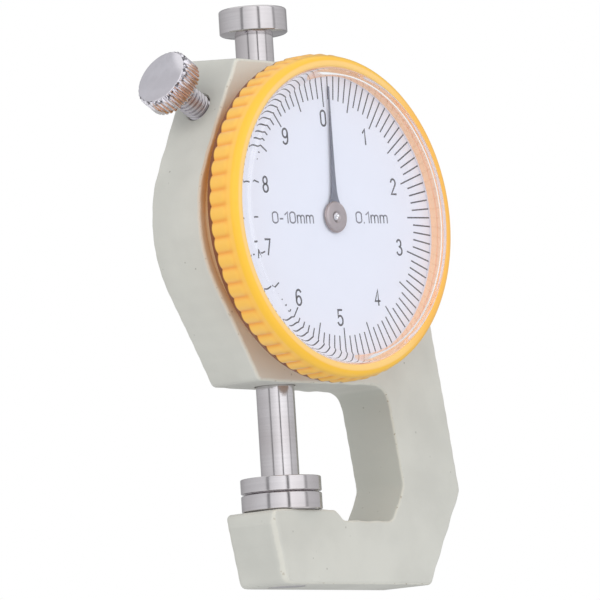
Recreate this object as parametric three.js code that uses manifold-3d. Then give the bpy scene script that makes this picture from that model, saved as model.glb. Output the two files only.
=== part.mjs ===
// Dial thickness gauge with a ten millimetre range and a turning bezel.
// Lengths are millimetres. The spindle axis is the Z axis, the foot stands on Z = 0
// and the dial faces -Y, so the front of a piece is its lower Y.
import * as THREE from 'three';
import { mergeVertices } from 'three/addons/utils/BufferGeometryUtils.js';
import Module from 'manifold-3d';

const wasm = await Module();
wasm.setup();

// Fits and facets
const runningGap = 0.06;
const seatGap = 0.04;
const looseGap = 0.3;
const cutOverrun = 1;
const mergeTolerance = 0.0001;
const largeSides = 48;
const roundSides = 32;
const smallSides = 12;
const arcSteps = 4;
const quarterTurn = Math.PI / 2;
const halfTurn = Math.PI;
const fullTurn = 2 * Math.PI;

// Spindle, contacts and lifting cap
const travel = 10;
const spindleRadius = 2.375;
const contactRadius = 5;
const contactBevel = 0.25;
const anvilFaceHeight = 11.5;
const anvilDiscThickness = 2.2;
const anvilShankRadius = 2.4;
const contactGap = 0.06;
const upperContactThickness = 1.9;
const contactStubRadius = 1.1;
const contactStubLength = 3;
const liftMargin = 1.39;
const capRadius = 4.23;
const capThickness = 3.12;
const capStandoff = 3.18;
const capBevel = 0.5;
const capTenonRadius = 1.5;
const capTenonLength = 2;

// Heights that the contacts and the travel fix
const padTop = anvilFaceHeight - anvilDiscThickness;
const upperContactBase = anvilFaceHeight + contactGap;
const spindleBase = upperContactBase + upperContactThickness;
const headBase = spindleBase + travel + liftMargin;
const dialDrop = 19.63;
const dialHeight = headBase + dialDrop;
const headRise = 21.2;
const headTop = dialHeight + headRise;
const capBase = headTop + capStandoff;

// Rack and gear train
const rackPinionTeeth = 16;
const gearTeeth = 24;
const rackPitch = travel / rackPinionTeeth;
const rackPinionPitchRadius = travel / fullTurn;
const rackInset = 0.475;
const rackEndMargin = 0.1;
const arborRise = 3.4;
const arborRadius = 0.6;
const pivotRadius = 0.3;
const gearThickness = 0.9;
const gearStandoff = 0.4;
const addendumShare = 0.8;
const dedendumShare = 1.15;
const toothTipShare = 0.22;
const toothRootShare = 0.62;
const rackLineX = -(spindleRadius - rackInset);
const pinionX = rackLineX - rackPinionPitchRadius;
const gearDistance = Math.hypot(pinionX, arborRise);
const gearPitchRadius = gearDistance / 2;
const trainAngle = Math.atan2(arborRise, pinionX);
const rackModule = rackPitch / Math.PI;
const pinionTipRadius = rackPinionPitchRadius + addendumShare * rackModule;

// Guide pin, rail and return spring
const guidePinRadius = 0.55;
const guidePinStartShare = 0.2;
const guidePinRoot = 1.9;
const springOffset = 1.75;
const springRadius = 0.85;
const springWireRadius = 0.18;
const springTurns = 8;
const springTurnSteps = 8;
const springWireSides = 5;
const springDrop = 7.2;
const anchorRadius = 0.45;
const anchorFront = 1.2;
const railClearance = 0.35;
const railWall = 0.7;
const railWeb = 0.4;
const railGrip = 1.1;
const railOverrun = 0.5;
const springX = spindleRadius + springOffset;
const railLeft = springX + springRadius + springWireRadius + railClearance;
const guidePinEnd = railLeft + railGrip;
const railRight = guidePinEnd + runningGap + railWeb;
const guidePinHeight = dialHeight - guidePinStartShare * travel;
const railTop = guidePinHeight + travel + guidePinRadius;
const anchorHeight = guidePinHeight - springDrop;

// Head, boss and cavity depths along Y
const frameThickness = 8.2;
const frameEdgeBevel = 0.35;
const backFace = frameThickness / 2;
const frontFace = -backFace;
const cavityMargin = 0.4;
const plateLedge = 2.7;
const coverLedge = 2.6;
const headRim = 2.1;
const headTopSlope = THREE.MathUtils.degToRad(5.5);
const coverThickness = 0.8;
const plateThickness = 0.8;
const plateStandoff = 0.55;
const webThickness = 1.3;
const rearCavityRadius = Math.hypot(railRight, railTop - dialHeight) + cavityMargin;
const frontCavityRadius = rearCavityRadius - plateLedge;
const coverRadius = rearCavityRadius + coverLedge;
const headRadius = coverRadius + headRim;
const coverFront = backFace - coverThickness;
const plateBack = -(spindleRadius + plateStandoff);
const plateFront = plateBack - plateThickness;
const gearBack = plateFront - gearStandoff;
const gearFront = gearBack - gearThickness;

// Dial, bezel and crystal
const dialRadius = 18.1;
const dialThickness = 0.4;
const dialHoleRadius = 1;
const dialStandoff = 6.99;
const dialClearance = 0.24;
const dialTurn = THREE.MathUtils.degToRad(-2.64);
const bezelSeatWidth = 2.9;
const bezelRunningGap = 0.15;
const bezelFlange = 1.04;
const bezelStepInset = 0.15;
const bezelStepDepth = 0.5;
const bezelSkirtLength = 2.25;
const bezelSkirtWall = 1.15;
const bezelRimWidth = 1.75;
const bezelRimDepth = 3.95;
const bezelCrown = 1.2;
const bezelLip = 0.35;
const fluteCount = 65;
const fluteHeight = 0.35;
const fluteSteps = 3;
const crystalHeight = 3.26;
const crystalWall = 1;
const crystalEdgeRadius = 1.6;
const crystalGap = 0.08;
const ringSection = 0.5;
const ringSlotShare = 0.08;
const dialFace = frontFace - dialStandoff;
const dialBack = dialFace + dialThickness;
const bossFront = dialBack + dialClearance;
const webBack = bossFront + webThickness;
const bezelInnerRadius = dialRadius + seatGap;
const bezelRimRadius = bezelInnerRadius + bezelRimWidth;
const bezelBoreRadius = dialRadius - bezelSeatWidth;
const bossRadius = bezelBoreRadius - bezelRunningGap;
const bezelRimBack = dialBack + bezelFlange;
const bezelSkirtBack = bezelRimBack + bezelSkirtLength;
const bezelFront = bezelRimBack - bezelRimDepth;
const ringMiddle = (bezelRimBack + bezelSkirtBack) / 2;
const ringRadius = bossRadius + bezelRunningGap / 2;
const crystalFront = dialFace - crystalHeight;
const crystalRadius = bezelInnerRadius - crystalGap;

// Pointer
const pointerGap = 0.45;
const needleThickness = 0.16;
const needleReachGap = 1.7;
const needleRootHalfWidth = 0.62;
const needleTipHalfWidth = 0.12;
const pointerTurn = THREE.MathUtils.degToRad(0.6);
const hubThickness = 0.6;
const hubRadius = 2.08;
const hubBevel = 0.15;
const arborTipRadius = 0.42;
const pointerBack = dialFace - pointerGap;
const hubFront = pointerBack - hubThickness;
const needleLength = dialRadius - needleReachGap;

// Frame outline, as reaches from the spindle axis along X and heights along Z
const toeFootReach = 4.58;
const toeMargin = 1.22;
const toeShoulder = 1.9;
const padMargin = 0.35;
const padRamp = 1.6;
const padRise = 1.25;
const throatFloorReach = 15.76;
const throatReach = 18.2;
const throatRise = 4.3;
const throatTopReach = 15.97;
const heelFootReach = 22.42;
const heelWidth = 10.83;
const heelHeight = 11.94;
const shoulderWidth = 8.98;
const shoulderDrop = 8.48;
const topRightReach = 7.82;
const topLeftReach = 7.76;
const headFootReach = 7.1;
const smallCornerRadius = 0.5;
const cornerRadius = 0.9;
const throatCornerRadius = 1.8;
const shoulderRadius = 5;
const throatFloor = padTop - padRise;

// Spindle bushes
const bushWall = 0.6;
const bushSetback = 1.1;
const bushRecess = 1;
const bushLip = 0.5;
const bushRadius = spindleRadius + runningGap + bushWall;
const boreClearance = 0.2;

// Clamp screw on the leaning side of the head
const clampRise = 8.4;
const clampTilt = THREE.MathUtils.degToRad(28.5);
const clampShankRadius = 1.7;
const clampPitch = 0.6;
const clampThreadDepth = 0.28;
const clampKnobRadius = 3.85;
const clampKnobThickness = 3;
const clampKnobBevel = 0.2;
const clampStandoff = 4.1;
const clampPlugLength = 1.6;
const clampPlugRadius = 1.3;
const clampCupRadius = 0.4;
const clampThreadLength = 6.6;
const knurlCount = 36;
const knurlDepth = 0.16;

// Hairspring
const hairspringTurns = 3;
const hairspringTurnSteps = 14;
const hairspringInnerRadius = 1;
const hairspringOuterRadius = 2.8;
const hairspringStrip = 0.1;
const hairspringWidth = 0.6;
const hairspringStandoff = 0.35;
const studRadius = 0.3;
const colletRadius = 0.85;

// Movement bushes, bridge and screws
const centreBushRadius = 1.5;
const centreBushLip = 0.25;
const pivotDepth = 0.7;
const bridgeThickness = 0.6;
const bridgeHeadroom = 0.15;
const bridgeFootWidth = 2;
const bridgeFootGap = 0.7;
const bridgeHalfHeight = 2.8;
const bridgeEnd = 1;
const screwHeadRadius = 1.05;
const screwHeadHeight = 0.45;
const screwShankRadius = 0.6;
const screwSlotWidth = 0.3;
const screwSlotDepth = 0.2;
const plateScrewLength = 2.4;
const plateScrewAngles = [20, 160, 235, 325].map(THREE.MathUtils.degToRad);
const bridgeScrewBite = 0.6;
const bridgeScrewHeadRadius = 0.9;
const bridgeScrewSpreadShare = 0.62;
const coverScrewHeadRadius = 1;
const coverScrewHeadHeight = 0.6;
const coverScrewLength = 1.9;
const coverScrewAngles = [0, 120, 240].map(THREE.MathUtils.degToRad);
const bridgeBack = coverFront - bridgeHeadroom - screwHeadHeight;
const bridgeFront = bridgeBack - bridgeThickness;

// Finishes
const castPaint = finish(0xc4c4b8, 0.55, 0);
const orangePlastic = finish(0xf5a52c, 0.4, 0);
const clearPlastic = finish(0xeef2f6, 0.05, 0);
const dialPaint = finish(0xe6e8f5, 0.5, 0);
const needlePaint = finish(0x3c4046, 0.45, 0.4);
const groundSteel = finish(0xb4b2b4, 0.25, 1);
const chromePlate = finish(0xc8c8cc, 0.12, 1);
const brass = finish(0xc9a24b, 0.35, 1);
const springSteel = finish(0x8f9296, 0.3, 1);

function finish(color, roughness, metalness) {
  return { color, roughness, metalness };
}

// A piece is a named mesh with a material of its own.
function piece(name, solid, look) {
  const mesh = new THREE.Mesh(toGeometry(solid), new THREE.MeshStandardMaterial(look));
  mesh.name = name;
  return mesh;
}

// Closed solid from a geometry: vertices merged, empty facets dropped, faces turned outwards.
function toSolid(geometry) {
  const bare = geometry.clone();
  bare.deleteAttribute('normal');
  bare.deleteAttribute('uv');
  const merged = mergeVertices(bare, mergeTolerance);
  const corners = merged.index.array;
  const triangles = [];
  for (let i = 0; i < corners.length; i += 3) {
    const [a, b, c] = [corners[i], corners[i + 1], corners[i + 2]];
    if (a !== b && b !== c && c !== a) triangles.push(a, b, c);
  }
  const vertProperties = new Float32Array(merged.attributes.position.array);
  const build = (list) => new wasm.Manifold(
    new wasm.Mesh({ numProp: 3, vertProperties, triVerts: new Uint32Array(list) }));
  const solid = build(triangles);
  return solid.volume() > 0 ? solid : build(triangles.reverse());
}

function toGeometry(solid) {
  const mesh = solid.getMesh();
  const geometry = new THREE.BufferGeometry();
  geometry.setAttribute('position', new THREE.BufferAttribute(new Float32Array(mesh.vertProperties), 3));
  geometry.setIndex(new THREE.BufferAttribute(new Uint32Array(mesh.triVerts), 1));
  geometry.computeVertexNormals();
  return geometry;
}

function joined(solids) {
  return solids.reduce((sum, solid) => sum.add(solid));
}

function cutBy(solid, cutters) {
  return cutters.reduce((rest, cutter) => rest.subtract(cutter), solid);
}

// Turned forms: a profile of [radius, station] pairs about Y or about Z.
function latheGeometry(profile, sides) {
  return new THREE.LatheGeometry(profile.map(([radius, y]) => new THREE.Vector2(radius, y)), sides);
}

function turnedY(profile, sides = roundSides) {
  return toSolid(latheGeometry(profile, sides));
}

function turnedZ(profile, sides = roundSides) {
  return toSolid(latheGeometry(profile, sides).rotateX(quarterTurn));
}

// A rod along Y between two stations, its axis at (x, z).
function rodY(radius, front, back, sides = roundSides, x = 0, z = 0) {
  const length = back - front;
  return toSolid(new THREE.CylinderGeometry(radius, radius, length, sides)
    .translate(x, (front + back) / 2, z));
}

function rodZ(radius, base, top, sides = roundSides) {
  return toSolid(new THREE.CylinderGeometry(radius, radius, top - base, sides)
    .rotateX(quarterTurn).translate(0, 0, (base + top) / 2));
}

function ringY(outer, inner, front, back, sides = roundSides) {
  return turnedY([[inner, front], [outer, front], [outer, back], [inner, back], [inner, front]], sides);
}

function block(left, right, front, back, base, top) {
  return toSolid(new THREE.BoxGeometry(right - left, back - front, top - base)
    .translate((left + right) / 2, (front + back) / 2, (base + top) / 2));
}

// A flat shape drawn in X and Z, given its depth between two stations of Y.
function slab(shape, front, back, bevel = 0) {
  const geometry = new THREE.ExtrudeGeometry(shape, {
    depth: back - front - 2 * bevel,
    steps: 1,
    curveSegments: arcSteps,
    bevelEnabled: bevel > 0,
    bevelThickness: bevel,
    bevelSize: bevel,
    bevelOffset: -bevel,
    bevelSegments: 1,
  });
  return toSolid(geometry.rotateX(quarterTurn).translate(0, back - bevel, 0));
}

// Point on a circle round the origin, for an angle from X towards Z.
function polar(radius, angle) {
  return [radius * Math.cos(angle), radius * Math.sin(angle)];
}

function circlePath(radius, sides) {
  return new THREE.Path(Array.from({ length: sides }, (_, i) =>
    new THREE.Vector2(...polar(radius, i / sides * fullTurn))));
}

// Points along a round corner between two straight runs.
function roundedCorner(before, [x, z, radius], after) {
  const toBefore = new THREE.Vector2(before[0] - x, before[1] - z).normalize();
  const toAfter = new THREE.Vector2(after[0] - x, after[1] - z).normalize();
  const half = Math.acos(THREE.MathUtils.clamp(toBefore.dot(toAfter), -1, 1)) / 2;
  const middle = toBefore.clone().add(toAfter).normalize().multiplyScalar(radius / Math.sin(half));
  const centre = new THREE.Vector2(x, z).add(middle);
  const start = new THREE.Vector2(x, z).addScaledVector(toBefore, radius / Math.tan(half)).sub(centre);
  const end = new THREE.Vector2(x, z).addScaledVector(toAfter, radius / Math.tan(half)).sub(centre);
  const sweep = Math.atan2(start.cross(end), start.dot(end));
  return Array.from({ length: arcSteps + 1 }, (_, i) =>
    start.clone().rotateAround(new THREE.Vector2(), sweep * i / arcSteps).add(centre));
}

function roundedOutline(corners) {
  return corners.flatMap((corner, i) => roundedCorner(
    corners.at(i - 1), corner, corners[(i + 1) % corners.length]));
}

// Head circle: where a straight run from an outside point touches it.
function touchAngle(x, z, side) {
  const away = Math.hypot(x, z - dialHeight);
  return Math.atan2(z - dialHeight, x) + side * Math.acos(headRadius / away);
}

const sideAngle = touchAngle(-topLeftReach, headTop, 1);
const lowerAngle = touchAngle(-headFootReach, headBase, -1);
const sideNormal = new THREE.Vector3(Math.cos(sideAngle), 0, Math.sin(sideAngle));
const sideUp = new THREE.Vector3(Math.sin(sideAngle), 0, -Math.cos(sideAngle));
const clampEntry = new THREE.Vector3(0, 0, dialHeight)
  .addScaledVector(sideNormal, headRadius).addScaledVector(sideUp, clampRise);
const clampAxis = new THREE.Vector3(-Math.cos(clampTilt), 0, Math.sin(clampTilt));
const clampTurn = new THREE.Quaternion().setFromUnitVectors(new THREE.Vector3(0, 1, 0), clampAxis);
const clampSpindleStation = (-spindleRadius - clampEntry.x) / clampAxis.x;
const clampPlugTip = clampSpindleStation + looseGap + clampCupRadius * Math.tan(clampTilt);
const clampPlugTop = clampPlugTip + clampPlugLength;
const clampTip = clampPlugTop + looseGap;

// The point where the two runs that touch the head circle would meet, beyond its left edge.
function headCorner() {
  const spread = (fullTurn + lowerAngle - sideAngle) % fullTurn / 2;
  const away = headRadius / Math.cos(spread);
  const [x, z] = polar(away, sideAngle + spread);
  return [x, dialHeight + z, headRadius];
}

function frameOutline() {
  const toeReach = contactRadius + toeMargin;
  return roundedOutline([
    [-toeFootReach, 0, cornerRadius],
    [heelFootReach, 0, cornerRadius],
    [throatReach + heelWidth, heelHeight, cornerRadius],
    [throatTopReach + shoulderWidth, dialHeight - shoulderDrop, shoulderRadius],
    [topRightReach, headTop, cornerRadius],
    [-topLeftReach, headTop, cornerRadius],
    headCorner(),
    [-headFootReach, headBase, cornerRadius],
    [throatTopReach, headBase, throatCornerRadius],
    [throatReach, throatFloor + throatRise, smallCornerRadius],
    [throatFloorReach, throatFloor, smallCornerRadius],
    [contactRadius + padMargin + padRamp, throatFloor, smallCornerRadius],
    [contactRadius + padMargin, padTop, smallCornerRadius],
    [-toeReach, padTop, cornerRadius],
    [-toeReach, padTop - toeShoulder, cornerRadius],
  ]);
}

function cavityBase() {
  return dialHeight - rearCavityRadius;
}

function lowerBushBase() {
  return headBase + bushLip;
}

function lowerBushTop() {
  return cavityBase() - bushSetback;
}

function upperBushBase() {
  const clampCrossing = clampEntry.z + clampSpindleStation * clampAxis.z;
  const channelTop = clampCrossing + (clampShankRadius + bushWall) / Math.cos(clampTilt);
  return Math.max(dialHeight + rearCavityRadius, channelTop) + bushSetback;
}

function clampChannel() {
  const length = cutOverrun - clampSpindleStation;
  return toSolid(new THREE.CylinderGeometry(
    clampShankRadius + seatGap, clampShankRadius + seatGap, length, roundSides)
    .translate(0, cutOverrun - length / 2, 0)
    .applyQuaternion(clampTurn)
    .translate(clampEntry.x, clampEntry.y, clampEntry.z));
}

// The top of the head falls towards the dial.
function headTopWedge() {
  const reach = headRadius + cutOverrun;
  const depth = frameThickness / Math.cos(headTopSlope) + 2 * cutOverrun;
  const height = frameThickness;
  return toSolid(new THREE.BoxGeometry(2 * reach, depth, height)
    .translate(0, -depth / 2 + cutOverrun, height / 2)
    .rotateX(headTopSlope)
    .translate(0, backFace, headTop));
}

function makeFrame() {
  const z = dialHeight;
  const body = slab(new THREE.Shape(frameOutline()), frontFace, backFace, frameEdgeBevel);
  const boss = rodY(bossRadius, bossFront, frontFace + frameEdgeBevel + seatGap, largeSides, 0, z);
  const groove = toSolid(latheGeometry([
    [bossRadius + cutOverrun, ringMiddle - ringSection / 2 - runningGap],
    [ringRadius - ringSection / 2 - runningGap, ringMiddle - ringSection / 2 - runningGap],
    [ringRadius - ringSection / 2 - runningGap, ringMiddle + ringSection / 2 + runningGap],
    [bossRadius + cutOverrun, ringMiddle + ringSection / 2 + runningGap],
    [bossRadius + cutOverrun, ringMiddle - ringSection / 2 - runningGap],
  ], largeSides).translate(0, 0, z));
  const trainHoles = [1, -1].map((side) => {
    const [x, rise] = polar(gearDistance, trainAngle);
    return rodY(pivotRadius + runningGap, webBack - pivotDepth - runningGap, webBack + cutOverrun,
      smallSides, side * x, z + side * rise);
  });
  const [studX, studRise] = studPlace();
  const screwHoles = [
    ...coverScrewAngles.map((angle) => {
      const [x, rise] = polar(coverScrewCircle(), angle);
      return rodY(screwShankRadius + seatGap, backFace - coverScrewLength - looseGap, backFace,
        smallSides, x, z + rise);
    }),
    ...plateScrewAngles.map((angle) => {
      const [x, rise] = polar(plateScrewCircle(), angle);
      return rodY(screwShankRadius + seatGap, plateBack - plateScrewLength - looseGap, plateBack,
        smallSides, x, z + rise);
    }),
  ];
  return cutBy(body.add(boss), [
    groove,
    rodY(coverRadius + seatGap, coverFront, backFace + cutOverrun, largeSides, 0, z),
    rodY(rearCavityRadius, plateFront, backFace + cutOverrun, largeSides, 0, z),
    rodY(frontCavityRadius, webBack, backFace, largeSides, 0, z),
    rodY(centreBushRadius + seatGap, bossFront - cutOverrun, webBack + cutOverrun, smallSides, 0, z),
    rodZ(spindleRadius + boreClearance, headBase - cutOverrun, headTop + cutOverrun, roundSides),
    rodZ(bushRadius + seatGap, lowerBushBase() - seatGap, lowerBushTop(), roundSides),
    rodZ(bushRadius + seatGap, upperBushBase(), headTop + cutOverrun, roundSides),
    rodZ(anvilShankRadius + seatGap, -cutOverrun, padTop + cutOverrun, roundSides),
    rodY(studRadius + seatGap, webBack - pivotDepth, webBack + cutOverrun, smallSides,
      studX, z + studRise),
    clampChannel(),
    headTopWedge(),
    ...trainHoles,
    ...screwHoles,
  ]);
}

function makeAnvil() {
  return turnedZ([
    [0, 0],
    [anvilShankRadius, 0],
    [anvilShankRadius, padTop],
    [contactRadius - contactBevel, padTop],
    [contactRadius, padTop + contactBevel],
    [contactRadius, anvilFaceHeight - contactBevel],
    [contactRadius - contactBevel, anvilFaceHeight],
    [0, anvilFaceHeight],
  ]);
}

function makeUpperContact() {
  return turnedZ([
    [0, upperContactBase],
    [contactRadius - contactBevel, upperContactBase],
    [contactRadius, upperContactBase + contactBevel],
    [contactRadius, spindleBase - contactBevel],
    [contactRadius - contactBevel, spindleBase],
    [contactStubRadius, spindleBase],
    [contactStubRadius, spindleBase + contactStubLength],
    [0, spindleBase + contactStubLength],
  ]);
}

// Toothed wheel drawn round the origin with one tooth pointing along firstTooth.
function gearShape(teeth, pitchRadius, firstTooth, holeRadius = 0) {
  const module = 2 * pitchRadius / teeth;
  const steps = [
    [pitchRadius - dedendumShare * module, toothRootShare / 2],
    [pitchRadius + addendumShare * module, toothTipShare / 2],
  ];
  const pitchAngle = fullTurn / teeth;
  const points = Array.from({ length: teeth }, (_, tooth) => {
    const centre = firstTooth + tooth * pitchAngle;
    const rising = steps.map(([radius, share]) => polar(radius, centre - share * pitchAngle));
    const falling = steps.map(([radius, share]) => polar(radius, centre + share * pitchAngle)).reverse();
    return [...rising, ...falling];
  }).flat();
  const shape = new THREE.Shape(points.map(([x, z]) => new THREE.Vector2(x, z)));
  if (holeRadius > 0) {
    shape.holes.push(circlePath(holeRadius, smallSides));
  }
  return shape;
}

// Space cut beside the rack: a strip whose inner edge follows the teeth.
function rackCutter() {
  const meshHeight = dialHeight + arborRise;
  const root = rackLineX + dedendumShare * rackModule;
  const tip = rackLineX - addendumShare * rackModule;
  const below = Math.ceil((travel + pinionTipRadius + rackEndMargin) / rackPitch);
  const above = Math.ceil((pinionTipRadius + rackEndMargin) / rackPitch);
  const outside = -(spindleRadius + cutOverrun);
  const edge = [];
  for (let space = -below; space <= above; space += 1) {
    const middle = meshHeight + space * rackPitch;
    const rootHalf = (1 - toothRootShare) / 2 * rackPitch;
    const tipHalf = (1 - toothTipShare) / 2 * rackPitch;
    edge.push([tip, middle - tipHalf], [root, middle - rootHalf]);
    edge.push([root, middle + rootHalf], [tip, middle + tipHalf]);
  }
  const outline = [[outside, edge[0][1]], ...edge, [outside, edge.at(-1)[1]]];
  const shape = new THREE.Shape(outline.map(([x, z]) => new THREE.Vector2(x, z)));
  return slab(shape, -spindleRadius - cutOverrun, spindleRadius + cutOverrun);
}

function makeSpindle() {
  const shaft = turnedZ([
    [0, spindleBase],
    [spindleRadius, spindleBase],
    [spindleRadius, capBase],
    [capTenonRadius, capBase],
    [capTenonRadius, capBase + capTenonLength],
    [0, capBase + capTenonLength],
  ]);
  const pinHole = toSolid(new THREE.CylinderGeometry(
    guidePinRadius + seatGap, guidePinRadius + seatGap, spindleRadius + cutOverrun, smallSides)
    .rotateZ(quarterTurn)
    .translate(spindleRadius - guidePinRoot + (spindleRadius + cutOverrun) / 2, 0, guidePinHeight));
  return cutBy(shaft, [
    rackCutter(),
    pinHole,
    rodZ(contactStubRadius + seatGap, spindleBase - cutOverrun,
      spindleBase + contactStubLength + looseGap, roundSides),
  ]);
}

function makeLiftCap() {
  const top = capBase + capThickness;
  const boreTop = capBase + capTenonLength + seatGap;
  const boreRadius = capTenonRadius + seatGap;
  return turnedZ([
    [0, boreTop],
    [boreRadius, boreTop],
    [boreRadius, capBase],
    [capRadius - capBevel, capBase],
    [capRadius, capBase + capBevel],
    [capRadius, top - capBevel / 2],
    [capRadius - capBevel / 2, top],
    [0, top],
  ]);
}

function makeGuidePin() {
  const root = spindleRadius - guidePinRoot + seatGap;
  const length = guidePinEnd - root;
  return toSolid(new THREE.CylinderGeometry(guidePinRadius, guidePinRadius, length, smallSides)
    .rotateZ(quarterTurn)
    .translate(root + length / 2, 0, guidePinHeight));
}

function makeGuideRail() {
  const base = guidePinHeight - guidePinRadius - railOverrun;
  const slot = guidePinRadius + runningGap;
  return cutBy(block(railLeft, railRight, plateBack, slot + railWall, base, railTop), [
    block(railLeft - cutOverrun, railRight - railWeb, -slot, slot, base - cutOverrun, railTop + cutOverrun),
  ]);
}

class Helix extends THREE.Curve {
  constructor(radius, rise, turns) {
    super();
    this.radius = radius;
    this.rise = rise;
    this.turns = turns;
  }

  getPoint(share, target = new THREE.Vector3()) {
    const angle = share * this.turns * fullTurn;
    return target.set(this.radius * Math.cos(angle), this.radius * Math.sin(angle), share * this.rise);
  }
}

function makeReturnSpring() {
  const base = anchorHeight + anchorRadius + springWireRadius + runningGap;
  const top = guidePinHeight - guidePinRadius - springWireRadius - runningGap;
  const section = new THREE.Shape(Array.from({ length: springWireSides }, (_, i) =>
    new THREE.Vector2(...polar(springWireRadius, i * fullTurn / springWireSides))));
  return toSolid(new THREE.ExtrudeGeometry(section, {
    steps: springTurns * springTurnSteps,
    extrudePath: new Helix(springRadius, top - base, springTurns),
  }).translate(springX, 0, base));
}

function makeSpringAnchor() {
  return rodY(anchorRadius, plateFront + seatGap, anchorFront, smallSides, springX, anchorHeight);
}

function makeBush(base, top) {
  const bore = spindleRadius + runningGap;
  return turnedZ([[bore, base], [bushRadius, base], [bushRadius, top], [bore, top], [bore, base]]);
}

// A slotted screw whose head is at Y = 0 and whose shank runs towards -Y.
function makeScrew(headRadius, headHeight, neckRadius, length) {
  const body = turnedY([
    [0, 0],
    [headRadius, 0],
    [neckRadius, -headHeight],
    [screwShankRadius, -headHeight],
    [screwShankRadius, -length],
    [0, -length],
  ].filter(([radius], i, all) => i === 0 || radius !== all[i - 1][0] || all[i][1] !== all[i - 1][1]),
  smallSides);
  return body.subtract(block(-headRadius - cutOverrun, headRadius + cutOverrun,
    -screwSlotDepth, cutOverrun, -screwSlotWidth / 2, screwSlotWidth / 2));
}

function coverScrewCircle() {
  return (rearCavityRadius + coverRadius) / 2;
}

function plateScrewCircle() {
  return (rearCavityRadius + frontCavityRadius) / 2;
}

// Drawn round the dial axis.
function makeMovementPlate() {
  const [x, rise] = polar(gearDistance, trainAngle);
  return cutBy(rodY(rearCavityRadius - seatGap, plateFront, plateBack, largeSides), [
    rodY(pivotRadius + runningGap, plateFront - cutOverrun, plateBack + cutOverrun, smallSides),
    rodY(arborRadius + runningGap, plateFront - cutOverrun, plateBack + cutOverrun, smallSides, x, rise),
    rodY(pivotRadius + runningGap, plateFront - cutOverrun, plateBack + cutOverrun, smallSides, -x, -rise),
    rodY(anchorRadius + seatGap, plateFront, plateBack + cutOverrun, smallSides,
      springX, anchorHeight - dialHeight),
    ...plateScrewAngles.map((angle) => {
      const [screwX, screwRise] = polar(plateScrewCircle(), angle);
      return rodY(screwShankRadius + seatGap, plateFront - cutOverrun, plateBack + cutOverrun,
        smallSides, screwX, screwRise);
    }),
    ...bridgeScrewRises().map((screwRise) => rodY(screwShankRadius + seatGap,
      plateFront - cutOverrun, plateBack + cutOverrun, smallSides, bridgeFootX(), screwRise)),
  ]);
}

function bridgeFootX() {
  return pinionX - pinionTipRadius - bridgeFootGap - bridgeFootWidth / 2;
}

function bridgeScrewRises() {
  return [1, -1].map((side) => arborRise + side * bridgeScrewSpreadShare * bridgeHalfHeight);
}

// Drawn round the dial axis.
function makeBridge() {
  const footX = bridgeFootX();
  const left = footX - bridgeFootWidth / 2;
  const base = arborRise - bridgeHalfHeight;
  const top = arborRise + bridgeHalfHeight;
  const foot = block(left, left + bridgeFootWidth, plateBack, bridgeBack, base, top);
  const arm = block(left, pinionX + bridgeEnd, bridgeFront, bridgeBack, base, top);
  return cutBy(foot.add(arm), [
    rodY(pivotRadius + runningGap, bridgeFront - cutOverrun, bridgeBack + cutOverrun,
      smallSides, pinionX, arborRise),
    ...bridgeScrewRises().map((rise) => rodY(screwShankRadius + seatGap,
      plateBack - cutOverrun, bridgeBack + cutOverrun, smallSides, footX, rise)),
  ]);
}

function makeBackCover() {
  return cutBy(rodY(coverRadius, coverFront, backFace, largeSides), coverScrewAngles.map((angle) => {
    const [x, rise] = polar(coverScrewCircle(), angle);
    const sink = latheGeometry([
      [0, coverFront - cutOverrun],
      [screwShankRadius + seatGap, coverFront - cutOverrun],
      [screwShankRadius + seatGap, backFace - coverScrewHeadHeight - seatGap],
      [coverScrewHeadRadius + seatGap, backFace],
      [coverScrewHeadRadius + seatGap, backFace + cutOverrun],
      [0, backFace + cutOverrun],
    ], smallSides);
    return toSolid(sink.translate(x, 0, rise));
  }));
}

// Pinion arbor: the pinion meshes with the rack, and the drive gear sits in front of the plate.
function makePinionArbor() {
  const pinion = slab(gearShape(rackPinionTeeth, rackPinionPitchRadius, 0),
    plateBack + looseGap, bridgeFront - looseGap);
  return turnedY([
    [0, webBack - pivotDepth],
    [pivotRadius, webBack - pivotDepth],
    [pivotRadius, webBack + runningGap],
    [arborRadius, webBack + runningGap],
    [arborRadius, bridgeFront - runningGap],
    [pivotRadius, bridgeFront - runningGap],
    [pivotRadius, bridgeBack],
    [0, bridgeBack],
  ], smallSides).add(pinion);
}

function makeTrainGear(firstTooth) {
  return slab(gearShape(gearTeeth, gearPitchRadius, firstTooth, arborRadius + seatGap), gearFront, gearBack);
}

function makeCentreArbor() {
  return turnedY([
    [0, hubFront],
    [arborTipRadius, hubFront],
    [arborTipRadius, pointerBack + runningGap],
    [arborRadius, pointerBack + runningGap],
    [arborRadius, plateFront - runningGap],
    [pivotRadius, plateFront - runningGap],
    [pivotRadius, plateBack],
    [0, plateBack],
  ], smallSides);
}

function makeCentreBush() {
  const bore = arborRadius + runningGap;
  const back = webBack + centreBushLip;
  return ringY(centreBushRadius, bore, bossFront, back, smallSides);
}

function makeHairspringArbor() {
  const colletBack = webBack + hairspringStandoff + hairspringWidth;
  return turnedY([
    [0, webBack - pivotDepth],
    [pivotRadius, webBack - pivotDepth],
    [pivotRadius, webBack + runningGap],
    [arborRadius, webBack + runningGap],
    [arborRadius, webBack + hairspringStandoff],
    [colletRadius, webBack + hairspringStandoff],
    [colletRadius, colletBack],
    [arborRadius, colletBack],
    [arborRadius, plateFront - runningGap],
    [pivotRadius, plateFront - runningGap],
    [pivotRadius, plateBack],
    [0, plateBack],
  ], smallSides);
}

function studPlace() {
  const reach = hairspringOuterRadius + hairspringStrip + studRadius + seatGap;
  return polar(gearDistance + reach, trainAngle + halfTurn);
}

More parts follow.
